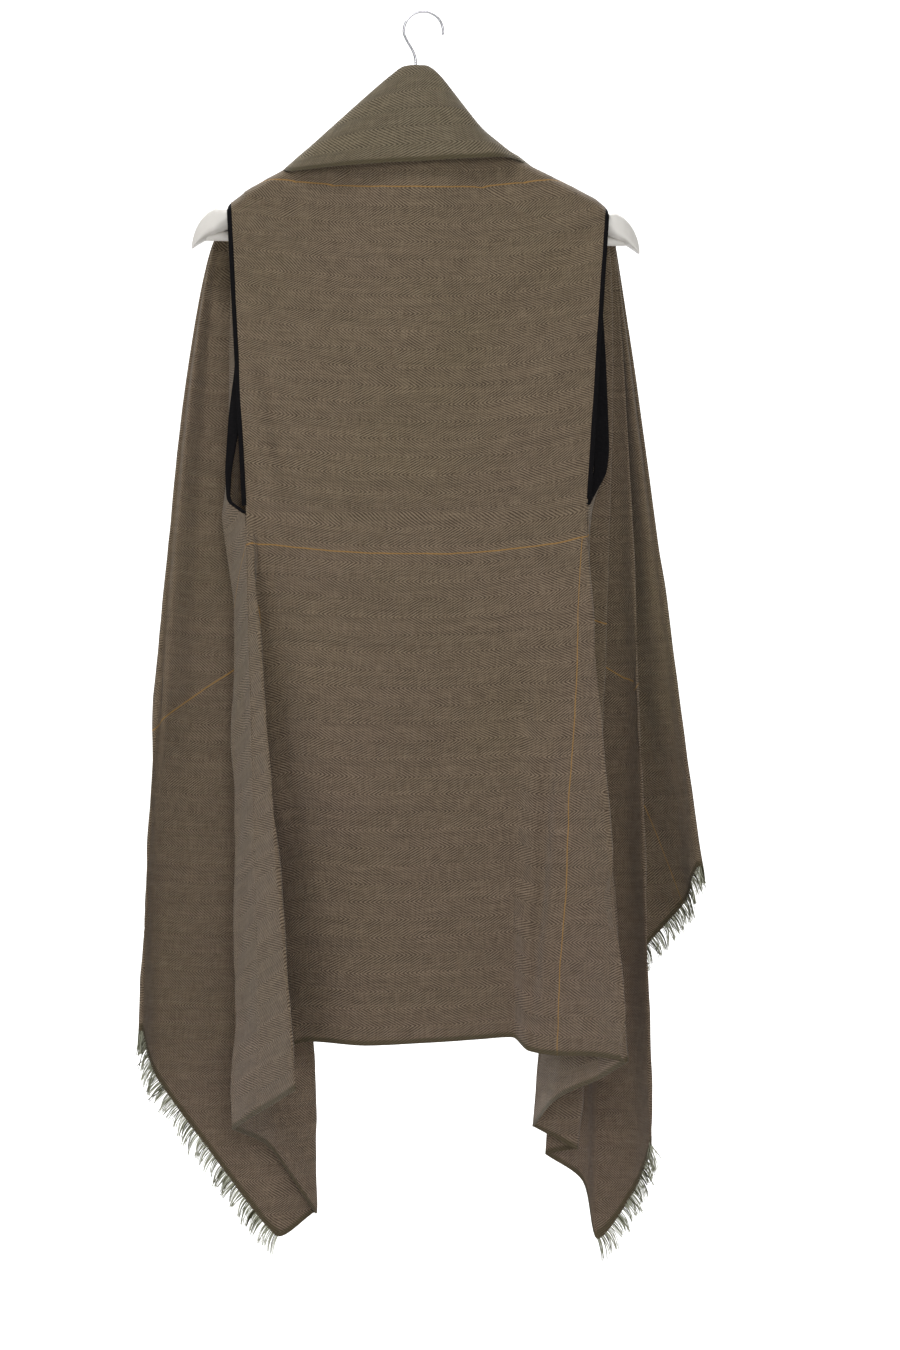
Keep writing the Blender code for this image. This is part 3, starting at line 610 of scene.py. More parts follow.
def add_cloth(name, grid, flat_mm, material, weave_mm=None):
    """A thin wall about a grid of points; flat_mm is each point's (along, down) on the cut,
    and weave_mm, if given, the place that its weave is drawn at."""
    weave_mm = flat_mm if weave_mm is None else weave_mm
    for axis in (0, 1):
        flat_mm, weave_mm, grid = [with_guards(values, grid, axis)
                                   for values in (flat_mm, weave_mm, grid)]
    columns, rows = grid.shape[:2]
    i, j = np.meshgrid(np.arange(columns - 1), np.arange(rows - 1), indexing="ij")
    a = (i * rows + j).ravel()
    faces = np.stack([a, a + rows, a + rows + 1, a + 1], axis=1)
    piece = add_mesh(name, grid.reshape(-1, 3), faces.tolist(), material)
    add_map(piece, "cloth", flat_mm * MM)
    add_map(piece, "weave", weave_mm * MM)
    thick = piece.modifiers.new("wall", "SOLIDIFY")
    thick.thickness = CLOTH_MM * MM
    thick.offset = 0.0
    return piece


def finer(shares, cells):
    """Each interval of a list of shares cut into equal cells."""
    last = len(shares) - 1
    return np.interp(np.linspace(0, last, last * cells + 1), range(last + 1), shares)


BACK_UPPER_ROWS = finer([0.0, 0.012, 0.03, 0.06, 0.14, 0.30, 0.50, 0.72, 1.0], 10)
BACK_LOWER_ROWS = finer([0.0, 0.10, 0.22, 0.36, 0.50, 0.66, 0.83, 1.0], 11)
BACK_SPANS = [5, 8, 8, 12, 14, 16, 14, 10, 8, 8, 8, 8]      # cells from fold to fold
# length of a wave and its height
RIPPLES = [(260, 0.9), (170, 0.7), (110, 0.5), (70, 0.30), (46, 0.18), (30, 0.10)]


def ripples(along, down, seed):
    """Low waves of the hanging cloth, in millimetres: sines of different runs and lengths."""
    waves = np.zeros_like(along)
    chance = np.random.default_rng(seed)
    for length, height in RIPPLES:
        for _ in range(3):
            way, phase = chance.uniform(-0.9, 0.9), chance.uniform(0, 6.28)
            run = down * math.cos(way) + along * math.sin(way)
            waves += height * np.sin(2 * np.pi * run / length + phase)
    return waves


def back_of_cape():
    """Upper part: from the ridge round the arms to the slits' feet. Lower part: fold lines
    from the level of the feet to the hem, joined by across_folds."""
    hem = np.array(BACK_HEM, float)
    feet = np.array(BACK_FOOT, float)
    feet_share = (feet[:, 0] + SLIT_ALONG) / (2 * SLIT_ALONG)
    start = np.stack([np.interp(hem[:, 5], feet_share, feet[:, k]) for k in (1, 2, 3)], axis=-1)
    way = BACK_LOWER_ROWS[:, None]
    lines = start[:, None] + (hem[:, None, 1:4] - start[:, None]) * way
    beyond = [line + (np.array(folds[1][3:6], float) - line[-1]) * way
              for line, folds in ((lines[0], LEFT_FOLDS), (lines[-1], RIGHT_FOLDS))]
    lower, place = across_folds(lines, hem[:, 4], BACK_SPANS, *beyond)
    foot = lower[:, 0]
    share = np.clip((foot[:, 0] - foot[0, 0]) / (foot[-1, 0] - foot[0, 0]), 0, 1)
    ridge = np.array(RIDGE, float)
    top_x = ridge[0, 0] + (ridge[-1, 0] - ridge[0, 0]) * share
    top = np.concatenate([top_x[:, None], soften(read_table(RIDGE, top_x), 3)], axis=1)
    top[:, 1] -= RIDGE_PART
    upper = top[:, None] + (foot - top)[:, None] * BACK_UPPER_ROWS[None, :-1, None]
    rear = np.minimum(arm_face(top_x, -1), top[:, 1])[:, None]
    drop = top[:, None, 2] - upper[:, :, 2]
    upper[:, :, 1] = (top[:, None, 1] + (rear - top[:, None, 1]) * rounding(drop, ARM_WRAP)
                      + (foot[:, None, 1] - rear) * BACK_UPPER_ROWS[None, :-1])
    grid = np.concatenate([upper, lower], axis=1)
    folds = np.arange(len(hem))
    along_foot = -SLIT_ALONG + 2 * SLIT_ALONG * np.interp(place, folds, hem[:, 5])
    along_hem = np.interp(place, folds, hem[:, 0])
    level = soften(foot[:, 2], 40) - SAG * (1 - (foot[:, 0] / SAG_HALF) ** 2).clip(0)
    down_foot = SLIT_FOOT + level - foot[:, 2]
    climb = np.linalg.norm(np.diff(grid[:, :upper.shape[1] + 1], axis=1), axis=-1)
    down_upper = down_foot[:, None] - np.cumsum(climb[:, ::-1], axis=1)[:, ::-1]
    along_lower = along_foot[:, None] + (along_hem - along_foot)[:, None] * BACK_LOWER_ROWS
    down_lower = down_foot[:, None] + (CLOTH_DOWN - down_foot)[:, None] * BACK_LOWER_ROWS
    along_upper = np.repeat(along_foot[:, None], upper.shape[1], 1)
    flat = np.stack([np.concatenate([along_upper, along_lower], axis=1),
                     np.concatenate([down_upper, down_lower], axis=1)], axis=-1)
    return soften(grid, 3, axis=1), flat


# front edge of each slit from the shoulder to the slit's foot: x, depth, height
SLIT_FRONT = {
    "left": [(-180, 35, -198), (-177, 24, -276), (-179, 17, -339), (-184, 10, -382),
             (-187, 5, -436), (-185, 0, -466), (-167, -13, -479)],
    "right": [(177, 35, -202), (172, 23, -259), (176, 16, -326), (178, 10, -383),
              (179, 6, -417), (176, 1, -439), (166, -5, -457), (158, -13, -472)],
}
# fold lines of the fronts: name, along and down on the cut, x, depth and height at the lower
# end, sideways bow, roundness or 0 where it turns back, layer in the gather behind the
# hanger's end, and None or the x and the drop under the ridge where it leaves the arm
LEFT_FOLDS = [
    ("slit edge", 465, 1020, -148, -64, -1037, 0, 0.90, 0.0, None),
    ("first fold", 540, 1020, -180, -22, -1061, 6, 0, 1.0, None),
    ("hem turn", 640, 1020, -148, 30, -1086, 0, 0.90, 1.8, None),
    ("inner ridge", 727, 1020, -104, 62, -1155, 0, 0, 2.6, None),
    ("corner", 767, 1020, -140, 52, -1176, 0, 0.80, 2.9, None),
    ("panel", 767, 905, -206, 40, -1090, 8, 1.00, 3.1, None),
    ("panel edge", 767, 810, -256, 26, -1016, 16, 0.90, 3.3, None),
    ("side ridge", 767, 757, -269, 8, -971, 20, 0, 3.6, None),
    ("side back", 767, 722, -258, 44, -950, 14, 0.90, 4.4, None),
    ("front pleat 1", 767, 640, -160, 84, -893, 4, 0, 5.4, None),
    ("front pleat 2", 767, 520, -252, 93, -838, 12, 0, 6.4, None),
    ("front pleat 3", 767, 400, -148, 102, -800, 2, 0, 7.6, None),
    ("front pleat 4", 767, 285, -226, 112, -778, 6, 0, 8.8, None),
    ("front pleat 5", 767, 170, -122, 122, -775, 0, 0, 10.2, (-172, 24)),
    ("front pleat 6", 767, 85, -170, 132, -778, 0, 0, 11.2, (-158, 8)),
    ("front edge", 767, 0, -104, 138, -800, 0, 0.90, 11.6, (-112, 0)),
]
RIGHT_FOLDS = [
    ("slit edge", 345, 1020, 166, -62, -1008, 0, 0.90, 0.0, None),
    ("behind the back", 400, 1020, 132, -24, -1030, 0, 0.90, 0.8, None),
    ("first fold", 520, 1020, 106, 24, -1065, 0, 0, 1.6, None),
    ("second fold", 568, 1020, 149, 34, -1088, 13, 0, 2.4, None),
    ("third fold", 602, 1020, 118, 45, -1095, 2, 0, 3.2, None),
    ("hem turn", 672, 1020, 156, 64, -1124, 2, 0.90, 3.8, None),
    ("corner", 767, 1020, 171, 70, -1182, 0, 0.80, 4.1, None),
    ("panel", 767, 958, 205, 60, -1136, 3, 0.90, 4.3, None),
    ("side ridge", 767, 905, 222, 36, -1085, 8, 0, 4.6, None),
    ("side back", 767, 862, 213, 76, -1048, 6, 0.90, 5.2, None),
    ("hidden pleat", 767, 760, 168, 96, -960, 0, 0, 6.0, None),
    ("upper panel", 767, 628, 228, 86, -888, 0, 0.90, 6.4, None),
    ("panel edge", 767, 540, 258, 68, -850, 1, 0.90, 6.7, None),
    ("outer ridge", 767, 468, 270, 48, -817, 2, 0, 7.0, None),
    ("outer back", 767, 432, 261, 88, -806, 2, 0.90, 7.6, None),
    ("front pleat 1", 767, 345, 160, 124, -780, 2, 0, 8.6, None),
    ("front pleat 2", 767, 250, 240, 133, -772, 4, 0, 9.8, None),
    ("front pleat 3", 767, 150, 122, 143, -775, 0, 0, 11.0, (166, 24)),
    ("front pleat 4", 767, 75, 166, 153, -780, 0, 0, 12.0, (150, 8)),
    ("front edge", 767, 0, 98, 159, -800, 0, 0.90, 12.4, (92, 0)),
]
FOLDS = {"left": LEFT_FOLDS, "right": RIGHT_FOLDS}
OUTWARD = {"left": -1, "right": 1}
# panels that swell towards the back's side: place among the folds, half width, mm
SWELLS = {
    "left": [(6.1, 0.75, 9.0), (1.5, 0.5, 3.0)],
    "right": [(11.9, 0.9, 9.0), (8.6, 0.5, 5.0), (4.0, 0.8, 4.0)],
}
# inward shift of a fold line on its way down: side, name, then (share of the way, mm)
TUCKS = {
    ("left", "first fold"): [(0, 0), (0.04, 8), (0.27, 7), (0.32, 1), (0.42, 11), (0.70, 9),
                             (1, 2)],
    ("left", "inner ridge"): [(0, 0), (0.60, 0), (0.80, 15), (0.90, 8), (1, 0)],
}
# creases of the back: along and down at both ends, height (a valley if negative), half width
CREASES = [
    (-176, 222, -60, 262, -4.6, 9),
    (-172, 240, -80, 300, 3.8, 10),
    (-176, 262, -96, 345, -3.0, 10),
    (176, 236, 40, 300, 4.2, 9),
    (176, 262, 70, 335, -4.4, 9),
    (176, 330, 100, 420, 3.0, 12),
    (-160, 345, -118, 530, -5.6, 8),
    (-170, 350, -132, 540, 3.8, 8),
    (-60, 330, 40, 360, 2.0, 16),
    (-20, 420, 90, 455, -2.0, 16),
    (-150, 560, -122, 860, -6.8, 15),
    (-118, 560, -60, 900, 3.0, 22),
    (40, 600, 20, 900, -2.8, 30),
    (80, 640, 96, 960, 2.4, 18),
    (-40, 700, -30, 1000, 2.2, 20),
    (132, 1010, 150, 730, -9.0, 8),
    (150, 1010, 160, 730, 3.4, 9),
]
BACK_RIPPLE = 1.4
RIPPLE_START = 200.0        # the back's ripples begin this far down and are full
RIPPLE_RUN = 150.0          # after this much more
RIPPLE_SEEDS = {"back": 3, "left": 5, "right": 8}


def creased(flat):
    """Height of the creases over each place of the cloth: ridges with a bell's section that
    fade out towards both ends."""
    height = np.zeros(flat.shape[:2])
    for along, down, to_along, to_down, rise, wide in CREASES:
        start, way = np.array([along, down]), np.array([to_along - along, to_down - down], float)
        length = np.linalg.norm(way)
        offset = flat - start
        part = offset @ way / length**2
        away = (offset[..., 0] * way[1] - offset[..., 1] * way[0]) / length
        height += rise * np.exp(-(away / wide) ** 2 / 2) * np.sin(np.pi * part.clip(0, 1)) ** 0.7
    return height


def clear_of_arm(grid, flat):
    """The back with its ripples, which fade out near the hanger and the seams, and its
    creases. The grid's normals point to the wearer, so a ridge goes against them."""
    waves = BACK_RIPPLE * ripples(flat[..., 0], flat[..., 1], RIPPLE_SEEDS["back"])
    fade = np.clip((flat[..., 1] - RIPPLE_START) / RIPPLE_RUN, 0, 1)
    edge = np.sin(np.linspace(0, np.pi, grid.shape[0]))[:, None] ** 0.5
    return grid + surface_normals(grid) * ((waves * fade - creased(flat)) * edge)[..., None]


back_grid, back_flat = back_of_cape()
back = add_cloth("cape_back", clear_of_arm(back_grid, back_flat), back_flat, wool,
                 even_weave(back_grid, back_flat))
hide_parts("back")
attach(back, "root")

# --- fronts of the cape ---------------------------------------------------------------
# Each end of the cloth hangs from one point behind the hanger's end and falls from there in
# pleats, with its frayed end as the lower edge and the slit's edge, then the hem, behind.
GATHER_SPREAD = 0.07
GATHER_OUT = {"left": 8.0, "right": 4.5}
GATHER_DROP = 24.0
GATHER_DOWN = 206.0         # how far down the cloth the point lies that is gathered there
GATHER_STEP = 2.1
GATHER_SLOPE = 1.1          # a fold on the arm starts less far down, by this per mm inward
SEAM_LAP = 0.9              # below the slit the front passes this far behind the back's edge
FRONT_WRAP = 28.0
FRONT_RIPPLE = 0.75
FIRST_RIDGE = {"left": 0, "right": 1}       # the first outer ridge among the folds that turn
SLIT_SHARES = finer([0.0, 0.02, 0.05, 0.10, 0.20, 0.35, 0.50, 0.65, 0.80, 0.91, 1.0], 8)
LOWER_SHARES = finer([0.0, 0.12, 0.25, 0.40, 0.55, 0.70, 0.85, 1.0], 12)


def early_bow(way):
    """A bow from 0 over 1, a third of the way along, back to 0: the root of the way times
    what is left of it, by its largest value."""
    return np.sqrt(way) * (1 - way) / 0.385


def front_of_cape(side):
    """Fold lines radiate from the shoulder point to hem and frayed end, with a sideways bow;
    the first runs down the slit's edge to its foot and on to the hem."""
    folds, outward = FOLDS[side], OUTWARD[side]
    foot = np.array(SLIT_FRONT[side][-1], float)
    end = np.array(folds[0][3:6], float)
    slit = SLIT_FOOT - SLIT_TOP
    share = slit / (slit + np.linalg.norm(end - foot))
    v = np.concatenate([share * SLIT_SHARES, share + (1 - share) * LOWER_SHARES[1:]])
    below = np.clip((v - share) / (1 - share), 0, 1)[:, None]
    open_edge = np.array(SLIT_FRONT[side], float)
    reach = reach_along(open_edge)
    open_edge = points_at(np.clip(v / share, 0, 1) * reach[-1], reach, open_edge)
    slit_edge = np.where(below > 0, foot + (end - foot) * below, open_edge)
    shoulder = np.array(RIDGE[0 if side == "left" else -1], float)
    face = arm_face(shoulder[0], 1)
    ease = np.clip((v - 0.05) / 0.95, 0, 1)
    lines, flats = [slit_edge], []
    slit_down = np.where(v <= share, SLIT_TOP + slit * v / share,
                         SLIT_FOOT + (CLOTH_DOWN - SLIT_FOOT) * below[:, 0])
    slit_along = SLIT_ALONG + (folds[0][1] - SLIT_ALONG) * below[:, 0]
    flats.append(np.stack([slit_along, slit_down], axis=-1))
    for name, along, down, x, depth, height, bow, _, layer, leaves in folds[1:]:
        stacked = face + GATHER_STEP * layer
        if leaves is None:
            start_x = shoulder[0] + GATHER_SPREAD * (x - shoulder[0]) + outward * GATHER_OUT[side]
            start_y, start_z = stacked, shoulder[2] - GATHER_DROP
            top_z, flat_start = start_z, (SLIT_ALONG, GATHER_DOWN)
        else:
            start_x, drop = leaves
            start_y, top_z = read_table(RIDGE, np.array([float(start_x)]))[0]
            start_y += RIDGE_PART
            start_z = top_z - drop
            flat_start = (SLIT_ALONG * abs(start_x / shoulder[0]),
                          GATHER_DOWN - GATHER_SLOPE * abs(shoulder[0] - start_x))
        line_z = start_z + (height - start_z) * v
        line_y = (start_y + (stacked - start_y) * rounding(top_z - line_z, FRONT_WRAP)
                  + (depth - stacked) * ease)
        tuck = np.interp(v, *np.array(TUCKS.get((side, name), [(0, 0), (1, 0)]), float).T)
        line_x = start_x + (x - start_x) * v + outward * (bow * early_bow(v) - tuck)
        lines.append(np.stack([line_x, line_y, line_z], axis=-1))
        flats.append(np.array(flat_start) + (np.array([along, down]) - flat_start) * v[:, None])
    lines, flats = np.array(lines), np.array(flats)
    nearest = np.array(BACK_HEM[1 if side == "left" else -2][1:4], float)
    before = np.where(below > 0, lines[0] + (nearest - lines[0, -1]) * below, lines[0])
    roundness = [fold[7] for fold in folds]
    spans = [12 if abs(this[3] - after[3]) > 40 else 8 for this, after in zip(folds, folds[1:])]
    grid, place = across_folds(lines, roundness, spans, before, lines[-1])
    low = np.floor(place).astype(int).clip(max=len(folds) - 2)
    part = (place - low)[:, None, None]
    flat = flats[low] * (1 - part) + flats[low + 1] * part
    flat[..., 0] *= outward
    slit_rows = len(SLIT_SHARES)
    grid[:, slit_rows + 2:] = soften(grid[:, slit_rows - 1:], 3, axis=1)[:, 3:]
    grid[:, :slit_rows] = soften(grid[:, :slit_rows], 2, axis=1)
    for middle, half, swell in SWELLS[side]:
        bell = np.cos(np.pi / 2 * ((place - middle) / half).clip(-1, 1)) ** 2
        grid[..., 1] -= swell * bell[:, None] * np.sin(np.pi * v**0.6)
    waves = ripples(flat[..., 0], flat[..., 1], RIPPLE_SEEDS[side])
    fade = np.clip((v - 0.12) / 0.5, 0, 1) * FRONT_RIPPLE * np.clip(place / 0.5, 0, 1)[:, None]
    grid += surface_normals(grid) * (waves * fade)[..., None]
    over = unit(grid[0] - grid[1])[slit_rows + 1:]
    grid[0, slit_rows + 1:] += over * SEAM_LAP + [0, SEAM_LAP / 2, 0]
    return grid, flat, place


def pleated_weave(grid, place, folds, first_ridge):
    """The distance along each row from the nearest outer ridge, with the distance from the
    top. Every second fold that turns back, from first_ridge on, is an outer ridge: there the
    herringbone mirrors, and it breaks off only in the valleys between them."""
    tips = [k for k, fold in enumerate(folds) if fold[7] == 0]
    ridges = tips[first_ridge::2]
    valleys = [tip for tip in tips[first_ridge + 1::2] if tip < ridges[-1]]
    ridge_columns = np.array([np.abs(place - ridge).argmin() for ridge in ridges])
    own = ridge_columns[np.searchsorted(valleys, place)]
    reach, drop = np.zeros(grid.shape[:2]), np.zeros(grid.shape[:2])
    reach[1:] = np.cumsum(np.linalg.norm(np.diff(grid, axis=0), axis=-1), axis=0)
    drop[:, 1:] = np.cumsum(np.linalg.norm(np.diff(grid, axis=1), axis=-1), axis=1)
    return np.stack([np.abs(reach - reach[own]), drop], axis=-1)


fronts = {}
for side in ("left", "right"):
    grid, flat, place = front_of_cape(side)
    fronts[side] = grid, place
    front = add_cloth("cape_front_" + side, grid, flat, wool,
                      pleated_weave(grid, place, FOLDS[side], FIRST_RIDGE[side]))
    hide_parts("front_" + side)
    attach(front, "root")

# --- collar ---------------------------------------------------------------------------
# The top of the same cloth is rolled over outward: it stands up to the hook at the back of
# the neck, falls to its frayed selvedge across the shoulders and narrows down both fronts.
COLLAR = [
    (-100, -3.0, -124.0, -131, -8.0, -151.5),
    (-87, -8.5, -112.5, -120, -20.5, -154.0),
    (-49, -16.5, -80.2, -84, -26.5, -151.0),
    (-28, -20.0, -63.2, -56, -28.5, -149.1),
    (-16, -21.0, -55.4, -31, -29.0, -147.6),
    (-1, -21.5, -54.4, -2, -29.0, -146.3),
    (8, -21.0, -56.0, 20, -29.0, -144.9),
    (19, -20.0, -65.4, 42, -28.0, -143.6),
    (37, -16.5, -87.6, 66, -26.5, -142.2),
    (56, -12.0, -110.8, 80, -22.0, -141.4),
    (72, -8.0, -124.2, 90, -13.0, -142.0),
    (82, -3.5, -131.6, 98, -6.0, -144.6),
]
COLLAR_BULGE = 4.0
LAPEL = {
    "left": [31, 32, 33, 35, 37, 40, 41, 40, 36, 29, 22, 3],
    "right": [23, 24, 25, 27, 31, 36, 38, 38, 34, 28, 21, 3],
}
LAPEL_LIFT = 2.6
LAPEL_STEP = 8              # rows of the front's grid from one width in the table to the next
LAPEL_LAST = 92             # the row at which the lapel ends
FALL = np.linspace(0, 1, 34)


def lapel_rows(side):
    """The front's cloth from its edge inward, by the table's width, moved out by LAPEL_LIFT."""
    grid = fronts[side][0]
    normals = surface_normals(grid)
    at = np.arange(0, LAPEL_LAST + 1, 4)
    table_at = [LAPEL_STEP * k for k in range(len(LAPEL[side]) - 1)] + [LAPEL_LAST]
    rows = []
    for row, width in zip(at, np.interp(at, table_at, LAPEL[side])):
        line, out = grid[::-1, row], normals[::-1, row]
        lifted = line + LAPEL_LIFT * out * np.sign(out[:, 1:2])
        rows.append(points_at(FALL * width, reach_along(line), lifted))
    return np.array(rows)


def through(rows, cells):
    """Cubic curves through a list of rows, with several cells from one to the next: at each
    row a curve has half of the step between its two neighbours as its slope."""
    framed = np.concatenate([rows[:1] * 2 - rows[1:2], rows, rows[-1:] * 2 - rows[-2:-1]])
    curves = []
    for k in range(1, len(framed) - 2):
        a, b, c, d = framed[k - 1:k + 3]
        for u in np.arange(cells) / cells:
            curves.append(0.5 * (2 * b + (c - a) * u + (2 * a - 5 * b + 4 * c - d) * u**2
                                 + (3 * b - a - 3 * c + d) * u**3))
    return np.array(curves + [rows[-1]])


def make_collar():
    """Lapel, neck and lapel in one grid; the fall stands out between fold and selvedge."""
    table = np.array(COLLAR, float)
    fold, edge = table[:, None, :3], table[:, None, 3:]
    neck = fold + (edge - fold) * FALL[None, :, None]
    neck[:, :, 1] -= COLLAR_BULGE * early_bow(FALL)
    left, right = lapel_rows("left")[::-1], lapel_rows("right")
    grid = through(np.concatenate([left[-2:], neck, right[:2]]), 8)[8:-8]
    grid = np.concatenate([left[:-1], grid, right[1:]])
    along = reach_along(grid.mean(axis=1))
    along -= along[len(along) // 2]
    width = np.linalg.norm(grid[:, -1] - grid[:, 0], axis=1)
    flat = np.stack([np.repeat(along[:, None], len(FALL), 1),
                     width[:, None] * (1 - FALL)], axis=-1)
    return grid, flat


collar_wool = herringbone("wool_collar", srgb(127, 116, 96), srgb(66, 57, 43),
                          (1.0, 1.0, 0.94, 1.0), 1.2)
collar_grid, collar_flat = make_collar()
collar = add_cloth("cape_collar", collar_grid, collar_flat, collar_wool)
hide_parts("collar")
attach(collar, "root")

# --- armhole tapes --------------------------------------------------------------------
# Black woven tape is folded over both raw edges of each slit and stitched down; it stands
# a few millimetres off the cloth's edge and is dull, with a fine rib along it.
# Width of the tape that shows, by the share of the way down the slit:
TAPE_WIDTHS = {
    "back": [(0, 4.6), (1, 4.6)],
    "front_left": [(0, 13.0), (0.68, 13.0), (0.90, 4.0), (1, 4.0)],
    "front_right": [(0, 14.0), (0.50, 14.0), (0.80, 18.0), (0.95, 9.0), (1, 4.0)],
}
TAPE_THICK = 2.2
TAPE_BITE = 0.6             # the tape's middle lies this far inside half of its width
TAPE_LEAN = 2.0             # how much the front tapes turn to the middle of the back
TAPE_SIDES = 12


def ribbed_tape():
    """Black tape: fine ribs by the sine of the map's first coordinate, and pale lint."""
    tape = Finish("black_tape")
    place = tape.node("ShaderNodeUVMap", uv_map="tape")["UV"]
    along = tape.node("ShaderNodeSeparateXYZ", {0: place})[0]
    ribs = tape.wave(along, 6000.0)
    tones = (0.45, srgb(9, 8, 10)), (0.8, srgb(22, 20, 22))
    return tape.shade({
        "Base Color": tape.ramp(tape.noise(place, 900.0, 3.0), *tones),
        "Normal": tape.bump(ribs, 0.35, 0.0002),
        "Roughness": 0.85,
        "Specular IOR Level": 0.1,
    })


def make_tape(name, edge, neighbour, normals, widths, lean, material):
    """A rounded flat section carried along the edge, centred half its width outside it, with
    its broad side leaning from the cloth's plane towards a direction."""
    reach = reach_along(edge)
    half = read_table(widths, reach / reach[-1]) / 2
    along = unit(np.gradient(edge, axis=0))
    square = np.cross(normals, along)
    inward = np.sign(np.sum(square * (neighbour - edge), axis=1, keepdims=True))
    outward = unit(unit(square * -inward) + lean)
    normals = unit(np.cross(outward, along))
    centre = edge + outward * (half - TAPE_BITE)
    angles = ring_angles(TAPE_SIDES)
    wide = half * squarer(np.cos(angles), 0.4)
    deep = TAPE_THICK / 2 * squarer(np.sin(angles), 0.6)
    rings = (centre[:, None] + outward[:, None] * wide[:, :, None]
             + normals[:, None] * deep[None, :, None])
    tape = add_tube(name, rings, material)
    round_it, down = np.meshgrid(np.arange(TAPE_SIDES), reach)
    add_map(tape, "tape", np.stack([down, round_it], axis=-1) * MM)
    return tape


tape_black = ribbed_tape()
back_normals = surface_normals(back_grid)
tapes = []
for side in ("left", "right"):
    column, inner = (0, 3) if side == "left" else (-1, -4)
    rows = slice(10, len(BACK_UPPER_ROWS) - 1)
    tape = make_tape("tape_%s_back" % side, back_grid[column, rows], back_grid[inner, rows],
                     back_normals[column, rows], TAPE_WIDTHS["back"], (0, 0, 0), tape_black)
    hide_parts("binding_%s_back" % side)
    tapes.append(tape)
    grid = fronts[side][0]
    rows = slice(4, len(SLIT_SHARES) - 1)
    tape = make_tape("tape_%s_front" % side, grid[0, rows], grid[3, rows],
                     surface_normals(grid)[0, rows], TAPE_WIDTHS["front_" + side],
                     (-OUTWARD[side] * TAPE_LEAN, 0, 0), tape_black)
    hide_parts("binding_%s_front" % side)
    tapes.append(tape)
for tape in tapes:
    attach(tape, "root")

# --- fringes --------------------------------------------------------------------------
# The last 17 mm of both ends of the cloth are unravelled, so that the threads of its length
# hang free; they are grey-green wool, some dark, and stand a little apart in tufts.
FRINGE_TUFTS = 146
THREADS = 7
FRINGE_LENGTH = 17.5
FRINGE_STEPS = 7
FRINGE_ROOT = 1.2           # a thread starts this far inside the cloth's edge
FRINGE_FALL = 0.55          # how far a thread bends down, as a share of its length
TUFT_CLOSING = 0.72         # how far the threads of a tuft draw together at their tips
FRINGE_SEEDS = {"left": 21, "right": 22}


def loose_yarn():
    """Pale grey-green wool; the map's first coordinate is a thread's own shade, and the sine
    of the second is its twist."""
    thread = Finish("loose_yarn")
    place = thread.node("ShaderNodeUVMap", uv_map="thread")["UV"]
    shade, down = thread.node("ShaderNodeSeparateXYZ", {0: place})[:2]
    tones = (0.10, srgb(70, 68, 50)), (0.32, srgb(148, 149, 129)), (0.95, srgb(184, 185, 166))
    return thread.shade({
        "Base Color": thread.ramp(shade, *tones),
        "Normal": thread.bump(thread.wave(down, 9000.0), 0.4, 0.0002),
        "Roughness": 0.9,
        "Specular IOR Level": 0.2,
    })


def make_fringe(side, material):
    """Three-sided tapering threads: each starts on the frayed edge, leaves it in the cloth's
    own direction and bends down, by the square of the way along it."""
    grid, place = fronts[side]
    corner = [fold[0] for fold in FOLDS[side]].index("corner")
    start = int(np.searchsorted(place, corner))
    end, before = grid[start:, -1], grid[start:, -4]
    reach = reach_along(end)
    chance = np.random.default_rng(FRINGE_SEEDS[side])
    threads = FRINGE_TUFTS * THREADS
    pitch = reach[-1] / FRINGE_TUFTS

    def by_tuft(values):
        return np.repeat(values, THREADS)

    middle = by_tuft((np.arange(FRINGE_TUFTS) + 0.5) * pitch
                     + chance.normal(0, 0.15 * pitch, FRINGE_TUFTS))
    aside = np.tile(np.linspace(-0.5, 0.5, THREADS) * pitch, FRINGE_TUFTS)
    aside += chance.normal(0, 0.25, threads)
    at = (middle + aside).clip(0.5, reach[-1] - 0.5)
    root = points_at(at, reach, end)
    sideways = unit(points_at(at, reach, np.gradient(end, axis=0)))
    way = square_to(points_at(at, reach, end - before), sideways)
    depth = unit(np.cross(way, sideways))
    length = FRINGE_LENGTH * by_tuft(chance.uniform(0.8, 1.05, FRINGE_TUFTS))
    length *= chance.uniform(0.85, 1.05, threads)
    sway = by_tuft(chance.normal(0, 0.16, FRINGE_TUFTS)) + chance.normal(0, 0.06, threads)
    sway -= TUFT_CLOSING * aside / FRINGE_LENGTH
    lift = chance.normal(0, 0.12, threads)
    t = np.linspace(0, 1, FRINGE_STEPS)
    fall = np.array([0, 0, -1.0])
    run = way[:, None] * (t - 0.25 * t**2)[None, :, None]
    run = run + FRINGE_FALL * fall * (t**2)[None, :, None]
    run += sideways[:, None] * (sway[:, None] * t**2)[..., None]
    run += depth[:, None] * (lift[:, None] * t)[..., None]
    centre = root[:, None] - way[:, None] * FRINGE_ROOT + run * length[:, None, None]
    radius = chance.uniform(0.45, 0.75, threads)[:, None] * (1 - 0.4 * t**2)[None]
    angles = ring_angles(3)
    across, deep = (radius[..., None] * turned for turned in (np.cos(angles), np.sin(angles)))
    rings = (centre[:, :, None] + sideways[:, None, None] * across[..., None]
             + depth[:, None, None] * deep[..., None])
    size = FRINGE_STEPS * 3
    faces = [[k * size + point for point in face]
             for k in range(threads) for face in tube_faces(FRINGE_STEPS, 3)]
    fringe = add_mesh("frayed_end_" + side, rings.reshape(-1, 3), faces, material)
    shade = np.repeat(chance.uniform(0, 1, threads), size)
    drop = (t[None] * length[:, None]).repeat(3, axis=1).ravel()
    add_map(fringe, "thread", np.stack([shade, drop * MM], axis=1))
    face_outward(fringe)
    return fringe


